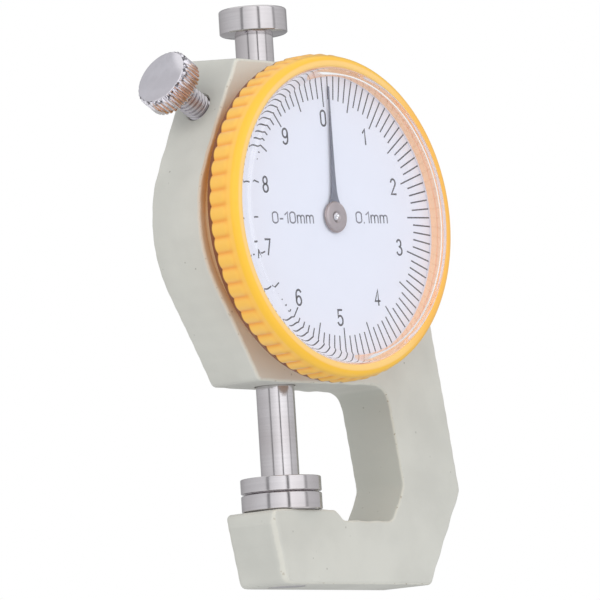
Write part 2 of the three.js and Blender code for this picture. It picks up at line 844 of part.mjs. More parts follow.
// Flat spiral strip drawn round its own arbor, its outer end beside the stud.
function makeHairspring() {
  const steps = hairspringTurns * hairspringTurnSteps;
  const edge = (offset) => Array.from({ length: steps + 1 }, (_, i) => {
    const share = i / steps;
    const radius = THREE.MathUtils.lerp(hairspringInnerRadius, hairspringOuterRadius, share) + offset;
    return new THREE.Vector2(...polar(radius, trainAngle + halfTurn + (share - 1) * hairspringTurns * fullTurn));
  });
  const shape = new THREE.Shape([...edge(hairspringStrip / 2), ...edge(-hairspringStrip / 2).reverse()]);
  const front = webBack + hairspringStandoff;
  return slab(shape, front, front + hairspringWidth);
}

function makeHairspringStud() {
  return rodY(studRadius, webBack - pivotDepth + seatGap,
    webBack + hairspringStandoff + hairspringWidth, smallSides);
}

function makePointer() {
  const needle = slab(new THREE.Shape([
    new THREE.Vector2(-needleRootHalfWidth, 0),
    new THREE.Vector2(needleRootHalfWidth, 0),
    new THREE.Vector2(needleTipHalfWidth, needleLength),
    new THREE.Vector2(-needleTipHalfWidth, needleLength),
  ]), pointerBack - needleThickness, pointerBack);
  const hub = turnedY([
    [0, hubFront],
    [hubRadius - hubBevel, hubFront],
    [hubRadius, hubFront + hubBevel],
    [hubRadius, pointerBack],
    [0, pointerBack],
  ]);
  return needle.add(hub).subtract(
    rodY(arborTipRadius + seatGap, hubFront - cutOverrun, pointerBack + cutOverrun, smallSides));
}

// Round lobes along the rim, one cosine swell for each flute.
function fluteShape() {
  const count = fluteCount * fluteSteps;
  const points = Array.from({ length: count }, (_, i) => {
    const swell = (1 + Math.cos(i / fluteSteps * fullTurn)) / 2;
    return new THREE.Vector2(...polar(bezelRimRadius + fluteHeight * swell, i / count * fullTurn));
  });
  const shape = new THREE.Shape(points);
  shape.holes.push(circlePath((bezelInnerRadius + bezelRimRadius) / 2, largeSides));
  return shape;
}

function makeBezel() {
  const skirtRadius = bezelBoreRadius + bezelSkirtWall;
  const ring = turnedY([
    [bezelBoreRadius, bezelSkirtBack],
    [skirtRadius, bezelSkirtBack],
    [skirtRadius, bezelRimBack + bezelStepDepth],
    [bezelRimRadius - bezelStepInset, bezelRimBack + bezelStepDepth],
    [bezelRimRadius - bezelStepInset, bezelRimBack],
    [bezelRimRadius, bezelRimBack],
    [bezelRimRadius, bezelFront + bezelCrown],
    [bezelRimRadius - bezelCrown / 4, bezelFront + bezelCrown / 3],
    [bezelRimRadius - bezelCrown, bezelFront],
    [bezelInnerRadius + bezelLip, bezelFront],
    [bezelInnerRadius, bezelFront + bezelLip],
    [bezelInnerRadius, dialBack + seatGap],
    [bezelBoreRadius, dialBack + seatGap],
    [bezelBoreRadius, bezelSkirtBack],
  ], largeSides);
  const flutes = slab(fluteShape(), bezelFront + bezelCrown, bezelRimBack);
  const groove = ringY(ringRadius + ringSection / 2 + runningGap, ringRadius - ringSection / 2,
    ringMiddle - ringSection / 2 - runningGap, ringMiddle + ringSection / 2 + runningGap, largeSides);
  return ring.add(flutes).subtract(groove);
}

// Split wire ring that snaps between the groove of the boss and the groove of the bezel.
function makeBezelSpring() {
  const outer = ringRadius + ringSection / 2;
  const inner = ringRadius - ringSection / 2;
  const slot = ringSlotShare * ringRadius;
  return ringY(outer, inner, ringMiddle - ringSection / 2, ringMiddle + ringSection / 2, largeSides)
    .subtract(block(-slot, slot, ringMiddle - cutOverrun, ringMiddle + cutOverrun, -outer - cutOverrun, 0));
}

function makeDialPlate() {
  return ringY(dialRadius, dialHoleRadius, dialFace, dialBack, largeSides);
}

// Quarter round between a flat face and a wall, as profile points.
function edgeRound(centreRadius, centreY, radius) {
  return Array.from({ length: arcSteps + 1 }, (_, i) => {
    const angle = i / arcSteps * quarterTurn;
    return [centreRadius + radius * Math.sin(angle), centreY - radius * Math.cos(angle)];
  });
}

function makeCrystal() {
  const foot = dialFace - seatGap;
  const centreRadius = crystalRadius - crystalEdgeRadius;
  const centreY = crystalFront + crystalEdgeRadius;
  const innerEdge = crystalEdgeRadius - crystalWall;
  return turnedY([
    [0, crystalFront],
    ...edgeRound(centreRadius, centreY, crystalEdgeRadius),
    [crystalRadius, foot],
    [crystalRadius - crystalWall, foot],
    ...edgeRound(centreRadius, centreY, innerEdge).reverse(),
    [0, crystalFront + crystalWall],
  ], largeSides);
}

// Clamp pieces are drawn about Y, with Y = 0 where their axis leaves the side of the head.
function makeClampScrew() {
  const shankTop = clampStandoff + clampKnobThickness / 2;
  const core = clampShankRadius - clampThreadDepth;
  const turns = Math.floor(clampThreadLength / clampPitch);
  const start = clampStandoff - turns * clampPitch;
  const thread = Array.from({ length: turns }, (_, i) => [
    [core, start + i * clampPitch],
    [clampShankRadius, start + (i + 1 / 2) * clampPitch],
  ]).flat();
  const shank = turnedY([
    [0, clampTip],
    [core, clampTip],
    ...thread,
    [core, clampStandoff],
    [core, shankTop],
    [0, shankTop],
  ], smallSides);
  const rim = Array.from({ length: 2 * knurlCount }, (_, i) => new THREE.Vector2(
    ...polar(clampKnobRadius - (i % 2) * knurlDepth, i * Math.PI / knurlCount)));
  const knob = slab(new THREE.Shape(rim), clampStandoff, clampStandoff + clampKnobThickness,
    clampKnobBevel);
  return knob.add(shank);
}

function makeClampPlug() {
  return turnedY([
    [0, clampPlugTip],
    [clampCupRadius, clampPlugTip],
    [clampPlugRadius, clampPlugTip + clampPlugRadius - clampCupRadius],
    [clampPlugRadius, clampPlugTop],
    [0, clampPlugTop],
  ], smallSides);
}

// Pieces that stand on the spindle axis and the frame that carries everything
function spindleLine() {
  const group = new THREE.Group();
  group.add(
    piece('frame', makeFrame(), castPaint),
    piece('anvil', makeAnvil(), groundSteel),
    piece('lower_bush', makeBush(lowerBushBase(), lowerBushTop() - seatGap), brass),
    piece('upper_bush', makeBush(upperBushBase() + seatGap, headTop - bushRecess), brass),
    piece('spindle', makeSpindle(), groundSteel),
    piece('upper_contact', makeUpperContact(), groundSteel),
    piece('lift_cap', makeLiftCap(), groundSteel),
    piece('guide_pin', makeGuidePin(), springSteel),
    piece('guide_rail', makeGuideRail(), brass),
    piece('return_spring', makeReturnSpring(), springSteel),
    piece('spring_anchor', makeSpringAnchor(), springSteel),
  );
  return group;
}

function placed(mesh, x, y, z) {
  mesh.position.set(x, y, z);
  return mesh;
}

// Pieces that are drawn round the dial axis, in a group at the height of the dial
function dialLine() {
  const group = new THREE.Group();
  group.position.set(0, 0, dialHeight);
  const [pinionOffset, pinionRise] = polar(gearDistance, trainAngle);
  const toothTurn = fullTurn / gearTeeth / 2;

  group.add(
    piece('movement_plate', makeMovementPlate(), brass),
    piece('pinion_bridge', makeBridge(), brass),
    piece('back_cover', makeBackCover(), castPaint),
    piece('centre_bush', makeCentreBush(), brass),
    piece('centre_arbor', makeCentreArbor(), groundSteel),
    piece('centre_gear', makeTrainGear(trainAngle + toothTurn), brass),
    placed(piece('pinion_arbor', makePinionArbor(), groundSteel), pinionOffset, 0, pinionRise),
    placed(piece('drive_gear', makeTrainGear(trainAngle), brass), pinionOffset, 0, pinionRise),
    placed(piece('hairspring_arbor', makeHairspringArbor(), groundSteel), -pinionOffset, 0, -pinionRise),
    placed(piece('hairspring_wheel', makeTrainGear(trainAngle), brass), -pinionOffset, 0, -pinionRise),
    placed(piece('hairspring', makeHairspring(), springSteel), -pinionOffset, 0, -pinionRise),
  );

  const [studX, studRise] = studPlace();
  group.add(placed(piece('hairspring_stud', makeHairspringStud(), brass), studX, 0, studRise));

  coverScrewAngles.forEach((angle, i) => {
    const [x, rise] = polar(coverScrewCircle(), angle);
    const screw = makeScrew(coverScrewHeadRadius, coverScrewHeadHeight, screwShankRadius, coverScrewLength);
    group.add(placed(piece(`cover_screw_${i + 1}`, screw, springSteel), x, backFace, rise));
  });
  plateScrewAngles.forEach((angle, i) => {
    const [x, rise] = polar(plateScrewCircle(), angle);
    const screw = makeScrew(screwHeadRadius, screwHeadHeight, screwHeadRadius,
      plateScrewLength + screwHeadHeight);
    group.add(placed(piece(`plate_screw_${i + 1}`, screw, springSteel), x, plateBack + screwHeadHeight, rise));
  });
  bridgeScrewRises().forEach((rise, i) => {
    const length = bridgeBack + screwHeadHeight - plateBack + bridgeScrewBite;
    const screw = makeScrew(bridgeScrewHeadRadius, screwHeadHeight, bridgeScrewHeadRadius, length);
    group.add(placed(piece(`bridge_screw_${i + 1}`, screw, springSteel),
      bridgeFootX(), bridgeBack + screwHeadHeight, rise));
  });

  const pointer = piece('pointer', makePointer(), needlePaint);
  pointer.rotation.y = pointerTurn;
  const turningRing = new THREE.Group();
  turningRing.rotation.y = dialTurn;
  turningRing.add(
    piece('bezel', makeBezel(), orangePlastic),
    piece('bezel_spring', makeBezelSpring(), springSteel),
    piece('dial_plate', makeDialPlate(), dialPaint),
    piece('crystal', makeCrystal(), clearPlastic),
  );
  group.add(pointer, turningRing);
  return group;
}

function clampLine() {
  const group = new THREE.Group();
  group.position.copy(clampEntry);
  group.quaternion.copy(clampTurn);
  group.add(
    piece('clamp_screw', makeClampScrew(), chromePlate),
    piece('clamp_plug', makeClampPlug(), brass),
  );
  return group;
}

const gauge = new THREE.Group();
gauge.add(spindleLine(), dialLine(), clampLine());

export default gauge;
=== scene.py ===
"""Dial thickness gauge: fine surfaces, finishes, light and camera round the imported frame."""

import logging
import math
from dataclasses import dataclass
from enum import Enum
from functools import cache, reduce
from typing import Callable, ClassVar, Iterable, Sequence

import bmesh
import bpy
from mathutils import Matrix, Vector


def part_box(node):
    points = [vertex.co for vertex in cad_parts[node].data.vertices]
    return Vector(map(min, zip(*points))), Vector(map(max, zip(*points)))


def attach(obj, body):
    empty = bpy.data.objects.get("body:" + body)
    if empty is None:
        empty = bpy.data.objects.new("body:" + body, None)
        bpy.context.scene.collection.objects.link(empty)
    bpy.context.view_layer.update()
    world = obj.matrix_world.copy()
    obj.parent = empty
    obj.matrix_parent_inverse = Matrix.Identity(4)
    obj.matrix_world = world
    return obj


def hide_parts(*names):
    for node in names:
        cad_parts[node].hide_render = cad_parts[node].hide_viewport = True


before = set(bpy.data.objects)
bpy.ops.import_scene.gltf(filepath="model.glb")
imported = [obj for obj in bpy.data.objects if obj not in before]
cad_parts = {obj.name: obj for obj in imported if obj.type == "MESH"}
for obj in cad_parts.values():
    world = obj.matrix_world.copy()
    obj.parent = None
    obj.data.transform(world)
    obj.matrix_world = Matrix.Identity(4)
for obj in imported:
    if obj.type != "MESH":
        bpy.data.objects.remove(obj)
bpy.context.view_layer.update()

log = logging.getLogger("gauge")
MM = 0.001
TURN = 2 * math.pi
DIAL_HEIGHT = 44.48
Piece = bpy.types.Object
Material = bpy.types.Material
NodeTree = bpy.types.NodeTree
Node = bpy.types.Node
Socket = bpy.types.NodeSocket
Sockets = dict[str, Socket]
Pair = tuple[float, float]
Rgb = tuple[int, int, int]
Colour = tuple[float, ...]


class Axis(Enum):
    """The line that a piece is turned round."""

    DIAL = "along Y, through the dial's centre"
    Y = "along Y, through the origin"
    Z = "along Z, through the origin"


# Mesh making


def share_of(value: float, start: float, full: float) -> float:
    """Tells how far a value has come from a start, which gives 0, to where it gives 1."""
    return min(1.0, max(0.0, (value - start) / (full - start)))


def finish_mesh(obj: Piece, sharp: float = 30.0) -> Piece:
    """Merges doubles, turns faces outwards and shades smooth up to an angle.

    Args:
        obj: The piece to finish.
        sharp: Edges that bend by more degrees than this stay sharp.

    Returns:
        The same piece.
    """
    shell = bmesh.new()
    shell.from_mesh(obj.data)
    bmesh.ops.remove_doubles(shell, verts=shell.verts, dist=1e-7)
    bmesh.ops.recalc_face_normals(shell, faces=shell.faces)
    shell.to_mesh(obj.data)
    shell.free()
    obj.data.polygons.foreach_set("use_smooth", [True] * len(obj.data.polygons))
    obj.data.set_sharp_from_angle(angle=math.radians(sharp))
    return obj


def mesh_piece(name: str, verts: Iterable[Sequence[float]], faces: Iterable[Sequence[int]],
               sharp: float = 30.0) -> Piece:
    """Makes a piece from points in millimetres.

    Args:
        name: Name of the piece.
        verts: Points in millimetres.
        faces: Corner numbers of each face.
        sharp: Edges that bend by more degrees than this stay sharp.

    Returns:
        The new piece, linked to the scene.
    """
    mesh = bpy.data.meshes.new(name)
    mesh.from_pydata([Vector(v) * MM for v in verts], [], [list(f) for f in faces])
    obj = bpy.data.objects.new(name, mesh)
    bpy.context.scene.collection.objects.link(obj)
    return finish_mesh(obj, sharp)


def skin(rings: Sequence[Sequence[int]]) -> list[list[int]]:
    """Gives the faces between closed rings of corner numbers; a ring may be a single point."""
    faces = []
    for low, high in zip(rings, rings[1:]):
        sides = max(len(low), len(high))
        for i in range(sides):
            j = (i + 1) % sides
            corners = [low[i % len(low)], low[j % len(low)], high[j % len(high)], high[i % len(high)]]
            corners = list(dict.fromkeys(corners))
            if len(corners) > 2:
                faces.append(corners)
    return faces


def lofted(name: str, layers: Sequence[Sequence[Sequence[float]]], sharp: float = 30.0) -> Piece:
    """Makes a closed piece through layers of as many points each, with flat ends.

    Args:
        name: Name of the piece.
        layers: The points of each layer, in millimetres.
        sharp: Edges that bend by more degrees than this stay sharp.

    Returns:
        The new piece.
    """
    count = len(layers[0])
    rings = [list(range(n * count, (n + 1) * count)) for n in range(len(layers))]
    points = [point for layer in layers for point in layer]
    return mesh_piece(name, points, [rings[0], rings[-1][::-1]] + skin(rings), sharp)


def turned(name: str, profile: Sequence[Pair], axis: Axis = Axis.DIAL, sides: int = 96, sharp: float = 30.0,
           shift: Pair = (0.0, 0.0)) -> Piece:
    """Turns a profile of radius and station pairs round an axis.

    Args:
        name: Name of the piece.
        profile: Radius and station pairs; it ends on the axis or closes on itself.
        axis: The axis that the profile turns round.
        sides: Facets round the axis.
        sharp: Edges that bend by more degrees than this stay sharp.
        shift: How far the axis lies off its usual place along X and Z, in millimetres.

    Returns:
        The new piece.
    """
    centre = (shift[0], 0.0, shift[1] + (DIAL_HEIGHT if axis is Axis.DIAL else 0.0))
    verts: list[tuple[float, ...]] = []
    rings: list[list[int]] = []
    for radius, station in profile:
        count = 1 if radius < 1e-9 else sides
        rings.append(list(range(len(verts), len(verts) + count)))
        for i in range(count):
            across, up = radius * math.sin(TURN * i / sides), radius * math.cos(TURN * i / sides)
            point = (across, up, station) if axis is Axis.Z else (across, station, up)
            verts.append(tuple(p + c for p, c in zip(point, centre)))
    return mesh_piece(name, verts, skin(rings), sharp)


def rod(name: str, radius: float, low: float, high: float, axis: Axis = Axis.DIAL, sides: int = 64) -> Piece:
    """Makes a plain rod between two stations, used to cut bores."""
    return turned(name, [(0, low), (radius, low), (radius, high), (0, high)], axis, sides)


def round_edge(centre: Pair, radius: float, start: float, end: float, steps: int = 5) -> list[Pair]:
    """Gives points of an arc in a profile.

    Args:
        centre: Radius and station of the arc's centre.
        radius: Radius of the arc.
        start: First angle in degrees, from outwards towards higher stations.
        end: Last angle in degrees.
        steps: Facets of the arc.

    Returns:
        The points, from start to end.
    """
    angles = [math.radians(start + (end - start) * i / steps) for i in range(steps + 1)]
    return [(centre[0] + radius * math.cos(a), centre[1] + radius * math.sin(a)) for a in angles]


def baked(obj: Piece) -> Piece:
    """Turns a piece with live modifiers into a plain mesh of its own."""
    evaluated = obj.evaluated_get(bpy.context.evaluated_depsgraph_get())
    mesh = bpy.data.meshes.new_from_object(evaluated)
    obj.modifiers.clear()
    obj.data = mesh
    return obj


def combined(obj: Piece, others: Sequence[Piece], operation: str) -> Piece:
    """Joins pieces to a piece or cuts them out of it.

    Args:
        obj: The piece that is kept.
        others: The pieces that join or cut it; they are deleted.
        operation: UNION or DIFFERENCE.

    Returns:
        The kept piece.
    """
    for other in others:
        modifier = obj.modifiers.new("solid", "BOOLEAN")
        modifier.operation = operation
        modifier.object = other
        modifier.solver = "EXACT"
    baked(obj)
    for other in others:
        bpy.data.objects.remove(other)
    return obj


def even_normals(obj: Piece) -> Piece:
    """Gives wide flat faces the say over the normals at their rounded edges."""
    modifier = obj.modifiers.new("even", "WEIGHTED_NORMAL")
    modifier.keep_sharp = True
    modifier.weight = 100
    return baked(obj)


# Node trees


def titled(key: str) -> str:
    """Gives a socket's name: spaces for underscores, and capitals."""
    return key.replace("_", " ").title()


class Tree:
    """A small builder for node trees, for shapes and for shaders."""

    def __init__(self, tree: NodeTree) -> None:
        """Keeps the tree that nodes are added to."""
        self.tree = tree

    def fill(self, node: Node, values: dict) -> Node:
        """Fills a node's inputs.

        Args:
            node: The node.
            values: Input name or number to a value or to the socket that feeds it.

        Returns:
            The same node.
        """
        for key, value in values.items():
            if isinstance(value, Socket):
                self.tree.links.new(value, node.inputs[key])
            else:
                node.inputs[key].default_value = value
        return node

    def add(self, kind: str, values: dict | None = None, **settings: object) -> Node:
        """Adds a node, sets its properties and fills its inputs.

        Args:
            kind: Blender's name of the node type.
            values: Input name or number to a value or to the socket that feeds it.
            settings: Properties of the node.

        Returns:
            The new node.
        """
        node = self.tree.nodes.new(kind)
        for key, value in settings.items():
            setattr(node, key, value)
        return self.fill(node, values or {})

    def math(self, operation: str, *operands: Socket | float) -> Socket:
        """Adds a Math node and returns its output."""
        return self.add("ShaderNodeMath", dict(enumerate(operands)), operation=operation).outputs[0]

    def vector(self, operation: str, *operands: object) -> Socket:
        """Adds a Vector Math node and returns its vector output."""
        return self.add("ShaderNodeVectorMath", dict(enumerate(operands)), operation=operation).outputs[0]

    def plus(self, first: Socket | float, second: Socket | float) -> Socket:
        """Adds two numbers."""
        return self.math("ADD", first, second)

    def minus(self, first: Socket | float, second: Socket | float) -> Socket:
        """Takes the second number from the first."""
        return self.math("SUBTRACT", first, second)

    def times(self, *factors: Socket | float) -> Socket:
        """Multiplies two numbers or more."""
        return reduce(lambda first, second: self.math("MULTIPLY", first, second), factors)

    def length(self, first: Socket, second: Socket) -> Socket:
        """Gives the length of a line from its parts along two axes."""
        return self.math("SQRT", self.plus(self.times(first, first), self.times(second, second)))

    def ramp(self, value: Socket, span: Sequence[object], to: Pair = (0.0, 1.0)) -> Socket:
        """Maps a value smoothly from the ends of one span to those of another."""
        values = dict(enumerate((value, *span, *to)))
        return self.add("ShaderNodeMapRange", values, interpolation_type="SMOOTHSTEP").outputs[0]

    def parts(self, vector: Socket) -> tuple[Socket, ...]:
        """Gives the X, Y and Z of a vector."""
        return tuple(self.add("ShaderNodeSeparateXYZ", {0: vector}).outputs)

    def joined(self, x: Socket | float = 0.0, y: Socket | float = 0.0, z: Socket | float = 0.0) -> Socket:
        """Makes a vector of its X, Y and Z."""
        return self.add("ShaderNodeCombineXYZ", {0: x, 1: y, 2: z}).outputs[0]

    def coords(self, kind: str = "Object") -> Socket:
        """Gives the object coordinates, or others by name."""
        return self.add("ShaderNodeTexCoord").outputs[kind]

    def noise(self, scale: Socket | float, detail: float, vector: Socket | None = None) -> Socket:
        """Gives a noise over the object coordinates, or over a vector."""
        values = {"Vector": vector or self.coords(), "Scale": scale, "Detail": detail}
        return self.add("ShaderNodeTexNoise", values).outputs["Fac"]

    def mixed(self, mask: Socket, first: Socket | Colour, second: Socket | Colour) -> Socket:
        """Mixes two colours by a mask that is 0 at the first."""
        return self.add("ShaderNodeMix", {0: mask, 6: first, 7: second}, data_type="RGBA").outputs[2]

    def layered(self, base: Socket | Colour, *layers: tuple[Socket, Socket | Rgb]) -> Socket:
        """Lays colours over a base, one after the other, each by its mask."""
        for mask, colour in layers:
            base = self.mixed(mask, base, linear(*colour) if isinstance(colour, tuple) else colour)
        return base

    def bump(self, height: Socket, relief: float) -> Socket:
        """Turns a height from 0 to 1 into a normal, with a relief in millimetres."""
        values = {"Height": height, "Distance": relief * MM, "Strength": 1.0}
        return self.add("ShaderNodeBump", values).outputs[0]

    def shared(self, group: NodeTree, **values: float) -> Sockets:
        """Places a shared group with its own values and gives its outputs by name."""
        node = self.add("ShaderNodeGroup", node_tree=group)
        self.fill(node, {titled(key): value for key, value in values.items()})
        return dict(node.outputs.items())


def grown(obj: Piece, shape: Callable[[Tree, Sockets], Socket], material: Material,
          **sizes: int | float | tuple[float, ...]) -> Piece:
    """Runs a geometry tree with named inputs on a piece and keeps the result as a plain mesh.

    Args:
        obj: The piece that the tree works on.
        shape: Adds the tree's own nodes and returns their geometry.
        material: The material of the result.
        sizes: Value of each input.

    Returns:
        The same piece.
    """
    kinds = {int: "NodeSocketInt", float: "NodeSocketFloat", tuple: "NodeSocketVector"}
    group = bpy.data.node_groups.new(shape.__name__, "GeometryNodeTree")
    for way in ("INPUT", "OUTPUT"):
        group.interface.new_socket(name="Geometry", in_out=way, socket_type="NodeSocketGeometry")
    values = {}
    for key, value in {**sizes, "material": material}.items():
        kind = kinds.get(type(value), "NodeSocketMaterial")
        socket = group.interface.new_socket(name=titled(key), in_out="INPUT", socket_type=kind)
        values[socket.identifier] = value
    tree = Tree(group)
    give = dict(tree.add("NodeGroupInput").outputs.items())
    real = tree.add("GeometryNodeRealizeInstances", {"Geometry": shape(tree, give)})
    painted = tree.add("GeometryNodeSetMaterial", {"Geometry": real.outputs[0], "Material": give["Material"]})
    tree.add("NodeGroupOutput", {0: painted.outputs[0]})
    modifier = obj.modifiers.new(group.name, "NODES")
    modifier.node_group = group
    for identifier, value in values.items():
        modifier[identifier] = value
    return baked(obj)


def ring_angle(tree: Tree, give: Sockets, number: Socket) -> Socket:
    """Gives the angle of a numbered point in an even ring."""
    return tree.plus(tree.times(tree.math("DIVIDE", number, give["Count"]), TURN), give["Phase"])


def copies(tree: Tree, count: Socket, place: Socket, piece: Socket, angle: Socket,
           size: Socket | tuple[float, ...] = (1.0, 1.0, 1.0)) -> Socket:
    """Sets copies of a piece on points, each turned round Y.

    Args:
        tree: The geometry tree.
        count: How many copies.
        place: Place of each copy.
        piece: The piece that is copied.
        angle: Angle of each copy.
        size: Scale of each copy.

    Returns:
        The copies.
    """
    points = tree.add("GeometryNodePoints", {"Count": count, "Position": place}).outputs[0]
    return tree.add("GeometryNodeInstanceOnPoints", {
        "Points": points, "Instance": piece, "Rotation": tree.joined(y=angle), "Scale": size}).outputs[0]


def pushed(tree: Tree, give: Sockets, x: Socket, z: Socket, distance: Socket) -> Socket:
    """Moves points away from an axis along Y.

    Args:
        tree: The geometry tree.
        give: The tree's inputs.
        x: Place along X from the axis.
        z: Place along Z from the axis.
        distance: How far each point moves.

    Returns:
        The moved geometry.
    """
    share = tree.math("DIVIDE", distance, tree.math("MAXIMUM", tree.length(x, z), 1e-6))
    offset = tree.joined(tree.times(x, share), 0.0, tree.times(z, share))
    return tree.add("GeometryNodeSetPosition", {"Geometry": give["Geometry"], "Offset": offset}).outputs[0]


def scale_marks(tree: Tree, give: Sockets) -> Socket:
    """Prints scale marks round a dial, longer at every fifth."""
    number = tree.add("GeometryNodeInputIndex").outputs[0]
    angle = ring_angle(tree, give, number)
    is_long = tree.math("LESS_THAN", tree.math("MODULO", number, give["Every"]), 0.5)
    reach = tree.minus(give["Long Inner"], give["Short Inner"])
    inner = tree.math("MULTIPLY_ADD", is_long, reach, give["Short Inner"])
    middle = tree.times(tree.plus(give["Outer"], inner), 0.5)
    place = tree.joined(tree.times(middle, tree.math("SINE", angle)), 0.0,
                        tree.times(middle, tree.math("COSINE", angle)))
    mark = tree.add("GeometryNodeMeshCube", {"Size": (1.0, 1.0, 1.0)}).outputs[0]
    size = tree.joined(give["Width"], give["Thickness"], tree.minus(give["Outer"], inner))
    return copies(tree, give["Count"], tree.vector("ADD", place, give["Centre"]), mark, angle, size)


def ring_of_copies(tree: Tree, give: Sockets) -> Socket:
    """Sets copies of the piece itself round an axis along Y."""
    angle = ring_angle(tree, give, tree.add("GeometryNodeInputIndex").outputs[0])
    return copies(tree, give["Count"], give["Centre"], give["Geometry"], angle)


def grip_flutes(tree: Tree, give: Sockets) -> Socket:
    """Swells a ring's rim into round lobes that fade towards the front."""
    x, y, z = tree.parts(tree.add("GeometryNodeInputPosition").outputs[0])
    up = tree.minus(z, give["Centre Height"])
    angle = tree.plus(tree.math("ARCTAN2", x, up), give["Phase"])
    wave = tree.math("ABSOLUTE", tree.math("COSINE", tree.times(angle, tree.times(give["Count"], 0.5))))
    lobe = tree.math("POWER", wave, 0.75)
    at_rim = tree.math("GREATER_THAN", tree.length(x, up), tree.minus(give["Rim Radius"], give["Rim Depth"]))
    in_front = tree.math("LESS_THAN", y, give["Rear"])
    fade = tree.ramp(y, (give["Front"], give["Back"]))
    return pushed(tree, give, x, up, tree.times(lobe, give["Height"], in_front, at_rim, fade))


def screw_thread(tree: Tree, give: Sockets) -> Socket:
    """Cuts a helical thread into a plain rod along Y."""
    x, y, z = tree.parts(tree.add("GeometryNodeInputPosition").outputs[0])
    turns = tree.math("DIVIDE", tree.math("ARCTAN2", x, z), TURN)
    along = tree.plus(tree.math("DIVIDE", y, give["Pitch"]), turns)
    groove = tree.ramp(tree.times(tree.math("PINGPONG", along, 0.5), 2.0), (0.1, 0.9))
    at_crest = tree.math("GREATER_THAN", tree.length(x, z), tree.times(give["Crest Radius"], 0.999))
    inside = tree.times(tree.math("GREATER_THAN", y, give["Start"]), tree.math("LESS_THAN", y, give["End"]))
    return pushed(tree, give, x, z, tree.times(groove, give["Depth"], at_crest, inside, -1.0))


# Shader groups


def linear(red: int, green: int, blue: int) -> Colour:
    """Turns a colour as a screen shows it into the colour that light uses."""
    parts = [c / 255 for c in (red, green, blue)]
    return tuple(c / 12.92 if c <= 0.04045 else ((c + 0.055) / 1.055) ** 2.4 for c in parts) + (1.0,)


def scaled(colour: Colour, *shares: float) -> Colour:
    """Makes a colour darker or lighter, by one share or by a share for each part."""
    parts = shares * 3 if len(shares) == 1 else shares
    return tuple(min(1.0, c * part) for c, part in zip(colour, parts)) + (1.0,)


def shader_group(name: str, outputs: str, **inputs: float) -> tuple[Tree, Sockets]:
    """Starts a shader node group with number sockets.

    Args:
        name: Name of the group.
        outputs: Names of the outputs, with spaces between.
        inputs: Input name to its usual value.

    Returns:
        The builder and the inputs by name.
    """
    group = bpy.data.node_groups.new(name, "ShaderNodeTree")
    for key, value in inputs.items():
        socket = group.interface.new_socket(name=titled(key), in_out="INPUT", socket_type="NodeSocketFloat")
        socket.default_value = value
    for key in outputs.split():
        group.interface.new_socket(name=key, in_out="OUTPUT", socket_type="NodeSocketFloat")
    tree = Tree(group)
    return tree, dict(tree.add("NodeGroupInput").outputs.items())


@cache
def fine_grain() -> NodeTree:
    """Makes the group for the small unevenness of a paint or a moulding, with a mask of specks."""
    tree, give = shader_group("fine_grain", "Height Tone Specks", grain_scale=900.0, tone_scale=90.0,
                              speck_scale=1100.0, speck_size=0.1)
    cells = tree.add("ShaderNodeTexVoronoi", {"Vector": tree.coords(), "Scale": give["Speck Scale"]})
    near = tree.math("LESS_THAN", cells.outputs["Distance"], give["Speck Size"])
    few = tree.ramp(tree.noise(260.0, 1.0), (0.58, 0.66))
    height, tone = tree.noise(give["Grain Scale"], 3.0), tree.noise(give["Tone Scale"], 4.0)
    tree.add("NodeGroupOutput", {"Height": height, "Tone": tone, "Specks": tree.times(near, few)})
    return tree.tree


@cache
def edge_wear() -> NodeTree:
    """Makes the group that finds the rounded edges of a casting that faces along Y, where paint wears and a
    painted highlight lies.
    """
    tree, give = shader_group("edge_wear", "Edge", raggedness=0.5, patch_scale=700.0)
    facing = tree.parts(tree.coords("Normal"))[1]
    square = tree.times(facing, facing)
    band = tree.times(square, tree.minus(1.0, square), 4.0)
    ragged = tree.times(tree.minus(tree.noise(give["Patch Scale"], 2.0), 0.5), give["Raggedness"])
    tree.add("NodeGroupOutput", {"Edge": tree.ramp(tree.plus(band, ragged), (0.45, 0.95))})
    return tree.tree


@cache
def tool_marks() -> NodeTree:
    """Makes the group for the fine marks that a lathe or a grinding wheel leaves."""
    tree, give = shader_group("tool_marks", "Height Haze Tone", along=60.0, across=9000.0)
    stretch = tree.joined(give["Along"], give["Along"], give["Across"])
    lines = tree.noise(1.0, 3.0, tree.vector("MULTIPLY", tree.coords(), stretch))
    haze, tone = tree.noise(420.0, 3.0), tree.noise(150.0, 2.0)
    tree.add("NodeGroupOutput", {"Height": lines, "Haze": haze, "Tone": tone})
    return tree.tree


@cache
def dial_distance() -> NodeTree:
    """Makes the group that gives a point's place round the dial, in millimetres."""
    tree, give = shader_group("dial_distance", "Radius Depth Across Up", centre_height=DIAL_HEIGHT)
    across, depth, height = (tree.times(part, 1 / MM) for part in tree.parts(tree.coords()))
    up = tree.minus(height, give["Centre Height"])
    radius = tree.length(across, up)
    tree.add("NodeGroupOutput", {"Radius": radius, "Depth": depth, "Across": across, "Up": up})
    return tree.tree


@cache
def clamp_station() -> NodeTree:
    """Makes the group that measures in millimetres how far out a point lies along the clamp screw."""
    tree, give = shader_group("clamp_station", "Station", start=0.0)
    placing = ClampSet.placing()
    outward = placing.col[1].xyz
    along = tree.add("ShaderNodeVectorMath", {0: tree.coords(), 1: outward}, operation="DOT_PRODUCT")
    out = tree.minus(tree.math("DIVIDE", along.outputs["Value"], MM), placing.translation.dot(outward) / MM)
    tree.add("NodeGroupOutput", {"Station": tree.minus(out, give["Start"])})
    return tree.tree


# Finishes


